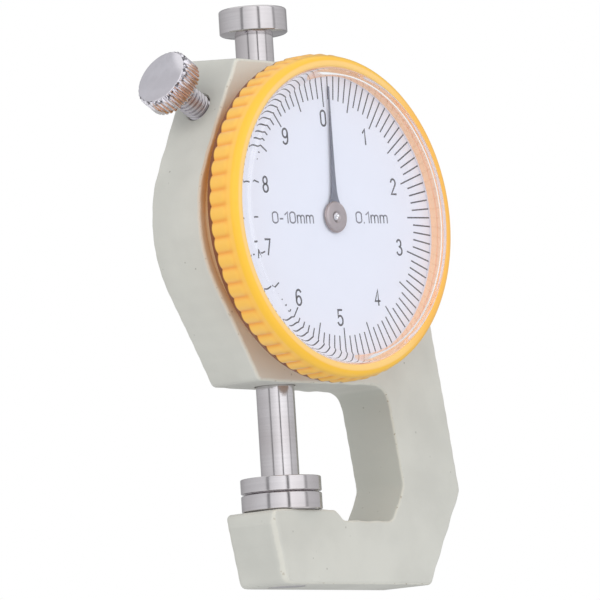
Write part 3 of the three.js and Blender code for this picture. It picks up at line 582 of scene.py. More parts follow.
@dataclass(frozen=True)
class Zone:
    """A zone that takes a colour, told by spans of measures: where each starts and where it is full."""

    colour: Rgb
    spans: dict[str, Pair]
    strength: float = 1.0

    def layer(self, tree: Tree, measures: Sockets) -> tuple[Socket, Rgb]:
        """Gives the zone's mask and its colour.

        Args:
            tree: The material's tree.
            measures: The measures by name.

        Returns:
            A layer for Tree.layered.
        """
        masks = []
        for key, (start, full) in self.spans.items():
            low, high, to = (start, full, (0.0, 1.0)) if start < full else (full, start, (1.0, 0.0))
            masks.append(tree.ramp(measures[key], (low, high), to))
        return tree.times(*masks, self.strength), self.colour


@dataclass(frozen=True)
class Finish:
    """A finish by name, with the colour and gloss that it starts from."""

    name: str
    slot: str
    colour: Rgb
    roughness: float

    def build(self) -> Material:
        """Builds the material."""
        material = bpy.data.materials.new(self.name)
        full = linear(*self.colour)
        material.diffuse_color = full
        tree = emptied(material)
        surface = tree.add("ShaderNodeBsdfPrincipled", {"Roughness": self.roughness, "Base Color": full})
        tree.add("ShaderNodeOutputMaterial", {"Surface": self.paint(tree, surface)})
        return material

    def paint(self, tree: Tree, surface: Node) -> Socket:
        """Adds the finish's own nodes.

        Args:
            tree: The material's tree.
            surface: The Principled BSDF.

        Returns:
            The shader.
        """
        raise NotImplementedError


def emptied(owner: Material | bpy.types.World) -> Tree:
    """Empties the node tree of a new material or world and gives its builder."""
    owner.use_nodes = True
    owner.node_tree.nodes.clear()
    return Tree(owner.node_tree)


@dataclass(frozen=True)
class CastPaint(Finish):
    """Satin paint on a casting, lighter along the edges from thinner paint and a painted highlight, with
    small pits, painted bounce light near the bezel and painted shade in the gap behind it and in the throat.
    """

    # Painted light and shade: bounce light near the bezel (glow), shade in the gap behind the bezel, deepest
    # at the boss (gap), and shade on the throat's inner wall (throat).
    glow: ClassVar[Zone] = Zone((222, 222, 212), {"Radius": (25.0, 20.0), "Depth": (-3.6, -4.0)})
    gap: ClassVar[Zone] = Zone((196, 150, 94), {"Radius": (25.0, 20.0), "Depth": (-3.6, -4.0),
                                                "Reach": (16.6, 14.5)})
    throat: ClassVar[Zone] = Zone((195, 195, 185), {"Facing": (-0.3, -0.6), "Across": (13.0, 14.5)})
    # Lighter edges: partly thinner, worn paint and partly a painted highlight along them.
    edge_colour: Rgb = (224, 221, 208)
    chip_colour: Rgb = (150, 134, 108)
    pit_colour: Rgb = (140, 136, 124)
    # Tilts the painted gap shade outwards above the dial's centre.
    gap_lean: float = 0.12
    edge_share: float = 0.5
    chip_share: float = 0.35
    pit_share: float = 0.55
    relief: float = 0.02

    def paint(self, tree: Tree, surface: Node) -> Socket:
        """Adds the tone, painted bounce light, painted shade in the gap and the throat, worn edges with a
        painted highlight, chips and pits.
        """
        grain = tree.shared(fine_grain(), grain_scale=1500.0, tone_scale=110.0, speck_scale=900.0,
                            speck_size=0.12)
        edge = tree.shared(edge_wear(), raggedness=0.7, patch_scale=900.0)["Edge"]
        measures = tree.shared(dial_distance())
        lean = tree.times(tree.math("MAXIMUM", measures["Up"], 0.0), self.gap_lean)
        measures["Reach"] = tree.minus(measures["Radius"], lean)
        measures["Facing"] = tree.parts(tree.coords("Normal"))[0]
        full = linear(*self.colour)
        worn = tree.plus(self.chip_share, tree.ramp(measures["Across"], (13.0, 15.0), (0.0, 0.5)))
        # Tone, painted bounce light, painted shade in the gap and the throat, worn edges with a painted
        # highlight, chips and pits.
        base = tree.layered(
            tree.mixed(tree.ramp(grain["Tone"], (0.3, 0.7)), scaled(full, 0.92), scaled(full, 1.03)),
            *(zone.layer(tree, measures) for zone in (self.glow, self.gap, self.throat)),
            (tree.times(edge, self.edge_share), self.edge_colour),
            (tree.times(edge, tree.ramp(grain["Height"], (0.6, 0.66)), worn), self.chip_colour),
            (tree.times(grain["Specks"], self.pit_share), self.pit_colour),
        )
        rough = tree.ramp(grain["Tone"], (0.3, 0.7), (self.roughness - 0.06, self.roughness + 0.08))
        normal = tree.bump(grain["Height"], self.relief)
        return tree.fill(surface, {"Base Color": base, "Roughness": rough, "Normal": normal}).outputs[0]


@dataclass(frozen=True)
class MouldedPlastic(Finish):
    """Semi-gloss moulded plastic with a slow change of tone and a very fine grain, and painted shade and
    painted highlights on the ring's zones.
    """

    # Painted shade in the valleys between the lobes, a painted highlight on the front round (crown), painted
    # light on the inner lip (lip) and painted shade on the right side, away from the key lamp (far).
    valley: ClassVar[Zone] = Zone((244, 152, 44), {"Depth": (-12.5, -11.9), "Radius": (20.18, 19.92)}, 0.6)
    crown: ClassVar[Zone] = Zone((255, 197, 38), {"Radius": (19.1, 19.3), "Depth": (-12.65, -12.95)}, 0.85)
    lip: ClassVar[Zone] = Zone((255, 208, 120), {"Radius": (19.25, 19.0), "Depth": (-12.9, -13.2)})
    far: ClassVar[Zone] = Zone((255, 186, 58), {"Across": (8.0, 15.0), "Depth": (-12.1, -12.6)}, 0.8)
    # Painted light on the bezel's inner wall: a paler peach that also glows.
    wall: ClassVar[Zone] = Zone((255, 201, 152), {"Radius": (18.41, 18.35), "Depth": (-10.7, -10.8)})
    # Painted shade at the rim's rear edge, behind the lobes.
    behind: ClassVar[Zone] = Zone((128, 66, 12), {"Depth": (-9.9, -9.7), "Radius": (19.7, 19.8)})
    deep_colour: Rgb = (252, 186, 68)
    deep_share: float = 0.3
    wall_glow: float = 0.12
    # Painted reflection: mirrors see the ring lighter, peach on the left and paler elsewhere, but not its
    # inner wall.
    mirrored_colour: Rgb = (255, 222, 196)
    faint_colour: Rgb = (226, 218, 212)
    mirrored_share: float = 0.85
    relief: float = 0.004
    coat: float = 0.25
    coat_roughness: float = 0.15

    def paint(self, tree: Tree, surface: Node) -> Socket:
        """Adds the tone, the painted shade and highlights of the ring's zones, the painted light and glow of
        its inner wall and a painted colour that reflections show.
        """
        grain = tree.shared(fine_grain(), grain_scale=2600.0, tone_scale=160.0)
        measures = tree.shared(dial_distance())
        inside, wall_colour = self.wall.layer(tree, measures)
        # Glossy rays see the painted reflection colour, except on the inner wall.
        outside = tree.minus(self.mirrored_share, tree.times(inside, self.mirrored_share))
        mirrored = tree.times(tree.add("ShaderNodeLightPath").outputs["Is Glossy Ray"], outside)
        shown = tree.mixed(tree.ramp(measures["Across"], (-10.0, -7.0)), linear(*self.mirrored_colour),
                           linear(*self.faint_colour))
        base = tree.layered(
            linear(*self.colour),
            (tree.times(tree.ramp(grain["Tone"], (0.35, 0.7)), self.deep_share), self.deep_colour),
            *(zone.layer(tree, measures) for zone in (self.valley, self.crown, self.lip, self.far)),
            (inside, wall_colour),
            self.behind.layer(tree, measures),
            (mirrored, shown),
        )
        # The inner wall's emission is painted light.
        return tree.fill(surface, {
            "Base Color": base,
            "Roughness": tree.ramp(grain["Tone"], (0.3, 0.7), (self.roughness - 0.04, self.roughness + 0.05)),
            "Emission Color": tree.mixed(inside, (0.0, 0.0, 0.0, 1.0), linear(*wall_colour)),
            "Emission Strength": self.wall_glow,
            "Coat Weight": self.coat,
            "Coat Roughness": self.coat_roughness,
            "Normal": tree.bump(grain["Height"], self.relief),
        }).outputs[0]


@dataclass(frozen=True)
class MatteSheet(Finish):
    """Matte painted sheet or print with a faint mottle."""

    mottle: float = 0.05
    relief: float = 0.003

    def paint(self, tree: Tree, surface: Node) -> Socket:
        """Adds the mottle."""
        grain = tree.shared(fine_grain(), grain_scale=3200.0, tone_scale=240.0)
        full = linear(*self.colour)
        base = tree.mixed(grain["Tone"], scaled(full, 1 - self.mottle), full)
        normal = tree.bump(grain["Height"], self.relief)
        return tree.fill(surface, {"Base Color": base, "Normal": normal}).outputs[0]


@dataclass(frozen=True)
class WorkedMetal(Finish):
    """Bare or plated metal with tool marks, faint haze and a slow change of tone, and on the knob painted
    shade over the knurl.
    """

    marks_across: float = 9000.0
    marks_along: float = 60.0
    relief: float = 0.0015
    haze: float = 0.08
    line_tone: float = 0.16
    # Strength and colour of the painted shade over the knob's knurl.
    streaks: float = 0.0
    streak_colour: Rgb = (34, 30, 36)

    def paint(self, tree: Tree, surface: Node) -> Socket:
        """Adds the tone, the tool marks and, on the knob, painted shade in patches over the knurl."""
        marks = tree.shared(tool_marks(), along=self.marks_along, across=self.marks_across)
        full = linear(*self.colour)
        base = tree.mixed(tree.ramp(marks["Tone"], (0.3, 0.7)), scaled(full, 0.86, 0.84, 0.83), full)
        lines = tree.times(tree.ramp(marks["Height"], (0.42, 0.62)), self.line_tone)
        base = tree.mixed(lines, base, scaled(full, 0.72))
        # Painted shade: dark patches over the band of the knurl.
        if self.streaks:
            station = tree.shared(clamp_station(), start=ClampSet.standoff)["Station"]
            band = tree.times(tree.ramp(station, (1.9, 2.5)), tree.ramp(station, (2.93, 2.97), (1.0, 0.0)))
            patch = tree.ramp(tree.noise(1900.0, 1.0), (0.52, 0.6), (0.0, self.streaks))
            base = tree.layered(base, (tree.times(patch, band), self.streak_colour))
        rough = tree.ramp(marks["Haze"], (0.3, 0.75), (self.roughness, self.roughness + self.haze))
        normal = tree.bump(marks["Height"], self.relief)
        return tree.fill(surface, {"Metallic": 1.0, "Base Color": base, "Roughness": rough,
                                   "Normal": normal}).outputs[0]


@dataclass(frozen=True)
class ClearPlastic(Finish):
    """Clear moulded plastic that lets lamp light through to what it covers."""

    refraction: float = 1.49
    relief: float = 0.0006
    tint: Colour = (0.97, 0.97, 0.98, 1.0)

    def paint(self, tree: Tree, surface: Node) -> Socket:
        """Adds the clear body and the way of the lamp light."""
        grain = tree.shared(fine_grain(), grain_scale=420.0, tone_scale=300.0)
        rough = tree.ramp(grain["Tone"], (0.35, 0.75), (self.roughness, self.roughness + 0.03))
        tree.fill(surface, {"Transmission Weight": 1.0, "IOR": self.refraction, "Roughness": rough,
                            "Normal": tree.bump(grain["Height"], self.relief)})
        clear = tree.add("ShaderNodeBsdfTransparent", {"Color": self.tint})
        path = tree.add("ShaderNodeLightPath").outputs
        passing = tree.math("MAXIMUM", path["Is Shadow Ray"], path["Is Diffuse Ray"])
        shaders = {0: passing, 1: surface.outputs[0], 2: clear.outputs[0]}
        return tree.add("ShaderNodeMixShader", shaders).outputs[0]


class Finishes:
    """Every finish of the gauge, built once."""

    cast = CastPaint("cast_paint", "cast_paint", (206, 205, 196), 0.5)
    orange = MouldedPlastic("orange_plastic", "orange_plastic", (255, 197, 82), 0.34)
    clear = ClearPlastic("crystal_clear", "crystal_clear", (250, 252, 255), 0.0)
    dial = MatteSheet("dial_white", "dial_white", (241, 242, 251), 0.5, 0.03)
    print_dark = MatteSheet("print_dark", "dial_white", (66, 62, 70), 0.6, 0.12)
    print_grey = MatteSheet("print_grey", "dial_white", (124, 121, 131), 0.6, 0.12)
    needle = WorkedMetal("needle_steel", "needle_paint", (124, 125, 138), 0.36, 3000.0, 3000.0)
    hub = WorkedMetal("hub_steel", "needle_paint", (172, 160, 160), 0.3, 1500.0, 1500.0, 0.02, 0.1)
    ground = WorkedMetal("ground_steel", "ground_steel", (216, 213, 215), 0.09, 3200.0, 60.0, 0.0022, 0.06)
    spring = WorkedMetal("spring_steel", "spring_steel", (170, 170, 176), 0.28)
    screw = WorkedMetal("screw_steel", "screw_steel", (168, 168, 174), 0.3, 3000.0, 3000.0)
    # The chrome's last number is the strength of the painted shade over the knurl.
    chrome = WorkedMetal("chrome_plate", "chrome_plate", (230, 228, 235), 0.08, 700.0, 700.0, 0.002, 0.05,
                         0.15, 0.75)
    thread = WorkedMetal("thread_steel", "chrome_plate", (204, 201, 206), 0.13, 700.0, 700.0, 0.001, 0.05)
    brass = WorkedMetal("turned_brass", "brass", (212, 178, 104), 0.28)
    built: dict[str, Material] = {}

    @classmethod
    def get(cls, finish: Finish) -> Material:
        """Returns the material of a finish, and builds it at first."""
        if finish.name not in cls.built:
            cls.built[finish.name] = finish.build()
        return cls.built[finish.name]


def install(obj: Piece, body: str, finish: Finish, *nodes: str) -> None:
    """Finishes a piece and puts it on its body, in place of the nodes that it stands for.

    Args:
        obj: The piece.
        body: The body that it rides on.
        finish: Its finish, whose material it takes.
        nodes: Frame nodes that it stands for.
    """
    obj.data.materials.clear()
    obj.data.materials.append(Finishes.get(finish))
    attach(obj, body)
    if nodes:
        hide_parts(*nodes)
    log.info("%s on %s, %d faces", obj.name, body, len(obj.data.polygons))


# Casting


@dataclass
class Casting:
    """The painted frame: foot, throat, arm, head and boss, with its bores."""

    back: float = 4.1
    edge_radius: float = 0.42
    foot_edge: float = 0.7
    edge_steps: int = 6
    head_radius: float = 16.19
    head_top: float = 65.68
    head_base: float = 24.85
    top_fall: float = math.tan(math.radians(5.5))
    fall_start: float = 59.0
    boss_radius: float = 15.05
    boss_front: float = -10.45
    groove_radius: float = 14.79
    wave_step: float = 0.6
    wave_height: float = 0.13
    sharp: float = 40.0

    def corners(self) -> list[tuple[float, float, float]]:
        """Gives the outline's corners as X, Z and corner radius."""
        left = self.head_corner((-7.76, self.head_top), (-7.1, self.head_base))
        return [
            (-4.58, 0.0, 0.9), (22.42, 0.0, 0.9), (29.03, 11.94, 0.9), (24.95, 36.0, 5.0),
            (7.82, self.head_top, 0.9), (-7.76, self.head_top, 0.9), left, (-7.1, self.head_base, 0.9),
            (15.97, self.head_base, 2.8), (18.2, 12.35, 1.2), (15.76, 8.05, 1.3), (6.95, 8.05, 1.2),
            (5.35, 9.3, 0.8), (-6.22, 9.3, 0.9), (-6.22, 7.4, 0.9),
        ]

    def head_corner(self, top: Pair, low: Pair) -> tuple[float, float, float]:
        """Finds where the two straight sides that touch the head circle would meet.

        Args:
            top: Outer end of the upper side.
            low: Outer end of the lower side.

        Returns:
            X, Z and radius of the corner.
        """
        def touch(point: Pair, side: float) -> float:
            """Gives the angle at which a line from a point touches the head circle."""
            away = math.hypot(point[0], point[1] - DIAL_HEIGHT)
            return math.atan2(point[1] - DIAL_HEIGHT, point[0]) + side * math.acos(self.head_radius / away)

        first, last = touch(top, 1), touch(low, -1)
        spread = ((TURN + last - first) % TURN) / 2
        away = self.head_radius / math.cos(spread)
        middle = first + spread
        return away * math.cos(middle), DIAL_HEIGHT + away * math.sin(middle), self.head_radius

    def outline(self) -> list[Vector]:
        """Gives the outline in X and Z with its corners rounded by fine arcs."""
        points: list[Vector] = []
        corners = self.corners()
        for i, (x, z, radius) in enumerate(corners):
            here = Vector((x, z))
            before = (Vector(corners[i - 1][:2]) - here).normalized()
            after = (Vector(corners[(i + 1) % len(corners)][:2]) - here).normalized()
            half = math.acos(max(-1.0, min(1.0, before.dot(after)))) / 2
            centre = here + (before + after).normalized() * radius / math.sin(half)
            start = here + before * radius / math.tan(half) - centre
            end = here + after * radius / math.tan(half) - centre
            sweep = math.atan2(start.x * end.y - start.y * end.x, start.dot(end))
            steps = max(6, round(abs(sweep) * math.sqrt(radius) * 5))
            for k in range(steps + 1):
                a = sweep * k / steps
                points.append(centre + Vector((start.x * math.cos(a) - start.y * math.sin(a),
                                               start.x * math.sin(a) + start.y * math.cos(a))))
        return self.wavy(points)

    def wavy(self, points: list[Vector]) -> list[Vector]:
        """Gives an outline the slight waves of a cast edge, all inwards.

        The foot's base and the edges round the spindle's bores stay flat.

        Args:
            points: The outline's points.

        Returns:
            More points, moved inwards by no more than the wave's height.
        """
        fine: list[Vector] = []
        for here, after in zip(points, points[1:] + points[:1]):
            steps = max(1, round((after - here).length / self.wave_step))
            fine += [here.lerp(after, k / steps) for k in range(steps)]
        depths = []
        for point in fine:
            wave = math.sin(1.9 * point.x + 0.7 * point.y) + math.sin(2.7 * point.y - 1.3 * point.x + 1.0)
            share = share_of(point.y, 0.0, 2.0) * share_of(abs(point.x), 3.5, 5.0)
            depths.append(self.wave_height * (wave + 2) / 4 * share)
        return self.inset(fine, depths)

    def inset(self, outline: list[Vector], depths: list[float]) -> list[Vector]:
        """Moves an outline inwards.

        Args:
            outline: Points that run anticlockwise.
            depths: How far to move each point.

        Returns:
            The moved points.
        """
        result = []
        for i, here in enumerate(outline):
            after = outline[(i + 1) % len(outline)]
            along = (here - outline[i - 1]).normalized() + (after - here).normalized()
            inward = Vector((-along.y, along.x)).normalized()
            lean = max(0.5, along.length / 2)
            result.append(here + inward * depths[i] / lean)
        return result

    def body(self) -> Piece:
        """Builds the casting without its bores: an outline with rounded edges and a falling top."""
        outline = self.outline()
        at_foot_end = [share_of(point.y, 9.2, 7.7) * share_of(point.x, -3.0, -4.5) for point in outline]
        radii = [self.edge_radius + self.foot_edge * share for share in at_foot_end]
        angles = [math.pi / 2 * k / self.edge_steps for k in range(self.edge_steps + 1)]
        layers = []
        for a, side in [(a, 1.0) for a in angles] + [(a, -1.0) for a in reversed(angles)]:
            layer = []
            for point, radius in zip(self.inset(outline, [r * (1 - math.sin(a)) for r in radii]), radii):
                y = side * (radius * (1 - math.cos(a)) - self.back)
                share = share_of(point.y, self.fall_start, self.head_top)
                layer.append((point.x, y, point.y - share * (self.back - y) * self.top_fall))
            layers.append(layer)
        return lofted("casting", layers)

    def build(self) -> None:
        """Builds the whole casting."""
        body = self.body()
        r, groove, front, root, bevel = self.boss_radius, self.groove_radius, self.boss_front, -3.9, 0.2
        groove_back, groove_front = -8.25, -8.79
        profile = [(0, root), (r, root), (r, groove_back), (groove, groove_back), (groove, groove_front)]
        profile += [(r, groove_front), (r, front + bevel), (r - bevel, front), (0, front)]
        boss = turned("boss", profile, Axis.DIAL, 128)
        combined(body, [boss], "UNION")
        clamp_bore = turned("clamp_bore", [(0, -9.75), (1.74, -9.75), (1.74, -0.3), (2.1, 0.1), (2.1, 1.5),
                                           (0, 1.5)], Axis.Y, 64)
        clamp_bore.data.transform(ClampSet.placing())
        combined(body, [
            rod("cover_seat", 14.13, 3.3, 5, sides=128),
            rod("rear_cavity", 11.49, -3.72, 5, sides=96),
            rod("front_cavity", 8.79, -9.15, 0, sides=96),
            rod("centre_bore", 1.54, -12, -8),
            rod("spindle_bore", 2.58, 20, 70, Axis.Z),
            rod("lower_bush_seat", 3.08, 25.31, 31.89, Axis.Z),
            rod("upper_bush_seat", 3.08, 58.95, 70, Axis.Z),
            rod("anvil_bore", 2.44, -1, 11, Axis.Z),
            clamp_bore,
        ], "DIFFERENCE")
        install(even_normals(finish_mesh(body, self.sharp)), "frame", Finishes.cast, "frame")


# Spindle line


@dataclass
class SpindleLine:
    """Anvil, contacts, spindle, lifting cap and the bushes that guide the spindle."""

    spindle_radius: float = 2.375
    contact_radius: float = 5.0
    contact_seat: float = 13.46
    edge: float = 0.12
    groove: float = 0.09
    cap_radius: float = 4.23
    cap_base: float = 68.86
    cap_top: float = 71.98
    bush_play: float = 0.06
    bush_wall: float = 0.6
    rack_pitch: float = 0.625
    rack_height: float = 47.88
    rack_root: float = -1.671
    rack_tip: float = -2.059
    pin_height: float = 42.48

    def disc(self, name: str, base: float, top: float, stub: Sequence[Pair]) -> Piece:
        """Makes a contact disc with rounded edges and a stub.

        Args:
            name: Name of the piece.
            base: Lower face of the disc.
            top: Upper face of the disc.
            stub: Profile points of the stub. A disc whose stub hangs below it has a groove at its top too.

        Returns:
            The new piece.
        """
        e, g, rim = self.edge, self.groove, self.contact_radius - self.edge
        inner, outer = rim - 0.3, rim - 0.24
        lower = [(inner, base), (outer, base + g)] + round_edge((rim, base + g + e), e, -90, 0)
        if stub[0][1] < top:
            upper = round_edge((rim, top - g - e), e, 0, 90) + [(outer, top - g), (inner, top), (0.0, top)]
            return turned(name, list(stub) + lower + upper, Axis.Z, 128)
        upper = round_edge((rim, top - e), e, 0, 90) + list(stub)
        return turned(name, [(0.0, base)] + lower + upper, Axis.Z, 128)

    def build(self) -> None:
        """Builds every piece of the spindle line."""
        anvil = self.disc("anvil_fine", 9.3, 11.5, [(0, 0), (2.28, 0), (2.4, 0.12), (2.4, 9.3)])
        install(anvil, "frame", Finishes.ground, "anvil")
        seat = self.contact_seat
        stub = [(1.1, seat), (1.1, 16.3), (0.95, 16.46), (0, 16.46)]
        contact = self.disc("upper_contact_fine", 11.56, seat, stub)
        install(contact, "spindle_set", Finishes.ground, "upper_contact")
        self.build_spindle()
        self.build_cap()
        bore = self.spindle_radius + self.bush_play
        outer, bevel = bore + self.bush_wall, 0.12
        for name, base, top in (("lower_bush", 25.35, 31.85), ("upper_bush", 58.99, 64.62)):
            profile = [(bore, base + bevel), (bore + bevel, base), (outer, base), (outer, top)]
            profile += [(bore + bevel, top), (bore, top - bevel), (bore, base + bevel)]
            install(turned(f"{name}_fine", profile, Axis.Z), "frame", Finishes.brass, name)

    def build_spindle(self) -> None:
        """Builds the spindle with its rack teeth and bores."""
        r, low, shoulder, tenon = self.spindle_radius, self.contact_seat, self.cap_base, 70.8
        profile = [(0, low), (r, low), (r, shoulder), (1.5, shoulder), (1.5, tenon), (0, tenon)]
        shaft = turned("spindle_fine", profile, Axis.Z, 128)
        edge = []
        tip, root = self.rack_tip, self.rack_root
        for space in range(-20, 5):
            middle = self.rack_height + space * self.rack_pitch
            edge += [(tip, middle - 0.24), (root, middle - 0.12), (root, middle + 0.12), (tip, middle + 0.24)]
        clear = 3.4
        outline = [(-clear, edge[0][1])] + edge + [(-clear, edge[-1][1])]
        teeth = lofted("rack_cutter", [[(x, y, z) for x, z in outline] for y in (-clear, clear)])
        pin_hole = rod("pin_hole", 0.59, 0.475, 4, Axis.Y, 32)
        pin_place = Matrix.Translation((0, 0, self.pin_height * MM)) @ Matrix.Rotation(-math.pi / 2, 4, "Z")
        pin_hole.data.transform(pin_place)
        combined(shaft, [teeth, rod("stub_hole", 1.14, 12, 16.76, Axis.Z), pin_hole], "DIFFERENCE")
        install(even_normals(finish_mesh(shaft, 35)), "spindle_set", Finishes.ground, "spindle")

    def build_cap(self) -> None:
        """Builds the lifting cap with its thinly broken lower edge."""
        r, base, top, bore, bevel = self.cap_radius, self.cap_base, self.cap_top, 1.54, 0.3
        profile = [(0, base + 2.04), (bore, base + 2.04), (bore, base), (r - 0.24, base)]
        profile += [(r - 0.16, base + 0.03), (r - 0.01, base + 0.16), (r, base + 0.2)]
        profile += round_edge((r - bevel, top - bevel), bevel, 0, 90) + [(0, top)]
        install(turned("lift_cap_fine", profile, Axis.Z, 128), "spindle_set", Finishes.ground, "lift_cap")


# Dial, bezel and pointer


class Figures:
    """Narrow figures of even stroke, one unit high, as lists of points."""

    widths = {"1": 0.24, "-": 0.26, ".": 0.02, "m": 0.62, "4": 0.5}
    usual_width = 0.48
    gap = 0.2

    @staticmethod
    def bow(x: float, z: float, across: float, up: float, start: float, end: float) -> list[Pair]:
        """Gives points of an oval bow round a centre, from a start angle to an end angle in degrees."""
        steps = max(4, round(abs(end - start) / 15))
        angles = [math.radians(start + (end - start) * i / steps) for i in range(steps + 1)]
        return [(x + across * math.cos(a), z + up * math.sin(a)) for a in angles]

    @classmethod
    def strokes(cls, sign: str) -> list[list[Pair]]:
        """Gives the strokes of a figure, a hyphen, a point or the letter m, each as a list of points."""
        bow = cls.bow
        six = [bow(0.24, 0.29, 0.24, 0.29, 180, -180), bow(0.26, 0.66, 0.26, 0.34, 35, 180) + [(0.0, 0.29)]]
        return {
            "0": [bow(0.24, 0.76, 0.24, 0.24, 0, 180) + bow(0.24, 0.24, 0.24, 0.24, 180, 360)
                  + [(0.48, 0.76)]],
            "1": [[(0.0, 0.76), (0.24, 1.0), (0.24, 0.0)]],
            "2": [bow(0.24, 0.75, 0.23, 0.25, 165, -35) + [(0.0, 0.0), (0.48, 0.0)]],
            "3": [bow(0.22, 0.77, 0.21, 0.23, 155, -80) + bow(0.22, 0.27, 0.26, 0.27, 80, -160)],
            "4": [[(0.34, 0.0), (0.34, 1.0), (0.0, 0.26), (0.5, 0.26)]],
            "5": [[(0.44, 1.0), (0.07, 1.0), (0.03, 0.52)] + bow(0.22, 0.31, 0.26, 0.31, 130, -155)],
            "6": six,
            "7": [[(0.0, 1.0), (0.48, 1.0), (0.2, 0.0)]],
            "8": [bow(0.24, 0.76, 0.2, 0.24, 270, -90), bow(0.24, 0.26, 0.24, 0.26, 90, 450)],
            "9": [[(0.48 - x, 1.0 - z) for x, z in line] for line in six],
            "-": [[(0.0, 0.38), (0.26, 0.38)]],
            ".": [[(0.0, 0.0), (0.02, 0.0)]],
            "m": [[(0.0, 0.0), (0.0, 0.7)],
                  [(0.0, 0.42)] + bow(0.155, 0.52, 0.155, 0.18, 180, 0) + [(0.31, 0.0)],
                  [(0.31, 0.42)] + bow(0.465, 0.52, 0.155, 0.18, 180, 0) + [(0.62, 0.0)]],
        }[sign]

    @classmethod
    def line(cls, text: str) -> list[list[Pair]]:
        """Gives the strokes of a line of signs, set one beside the other."""
        lines, pen = [], 0.0
        for sign in text:
            lines += [[(pen + x, z) for x, z in stroke] for stroke in cls.strokes(sign)]
            pen += cls.widths.get(sign, cls.usual_width) + cls.gap
        return lines


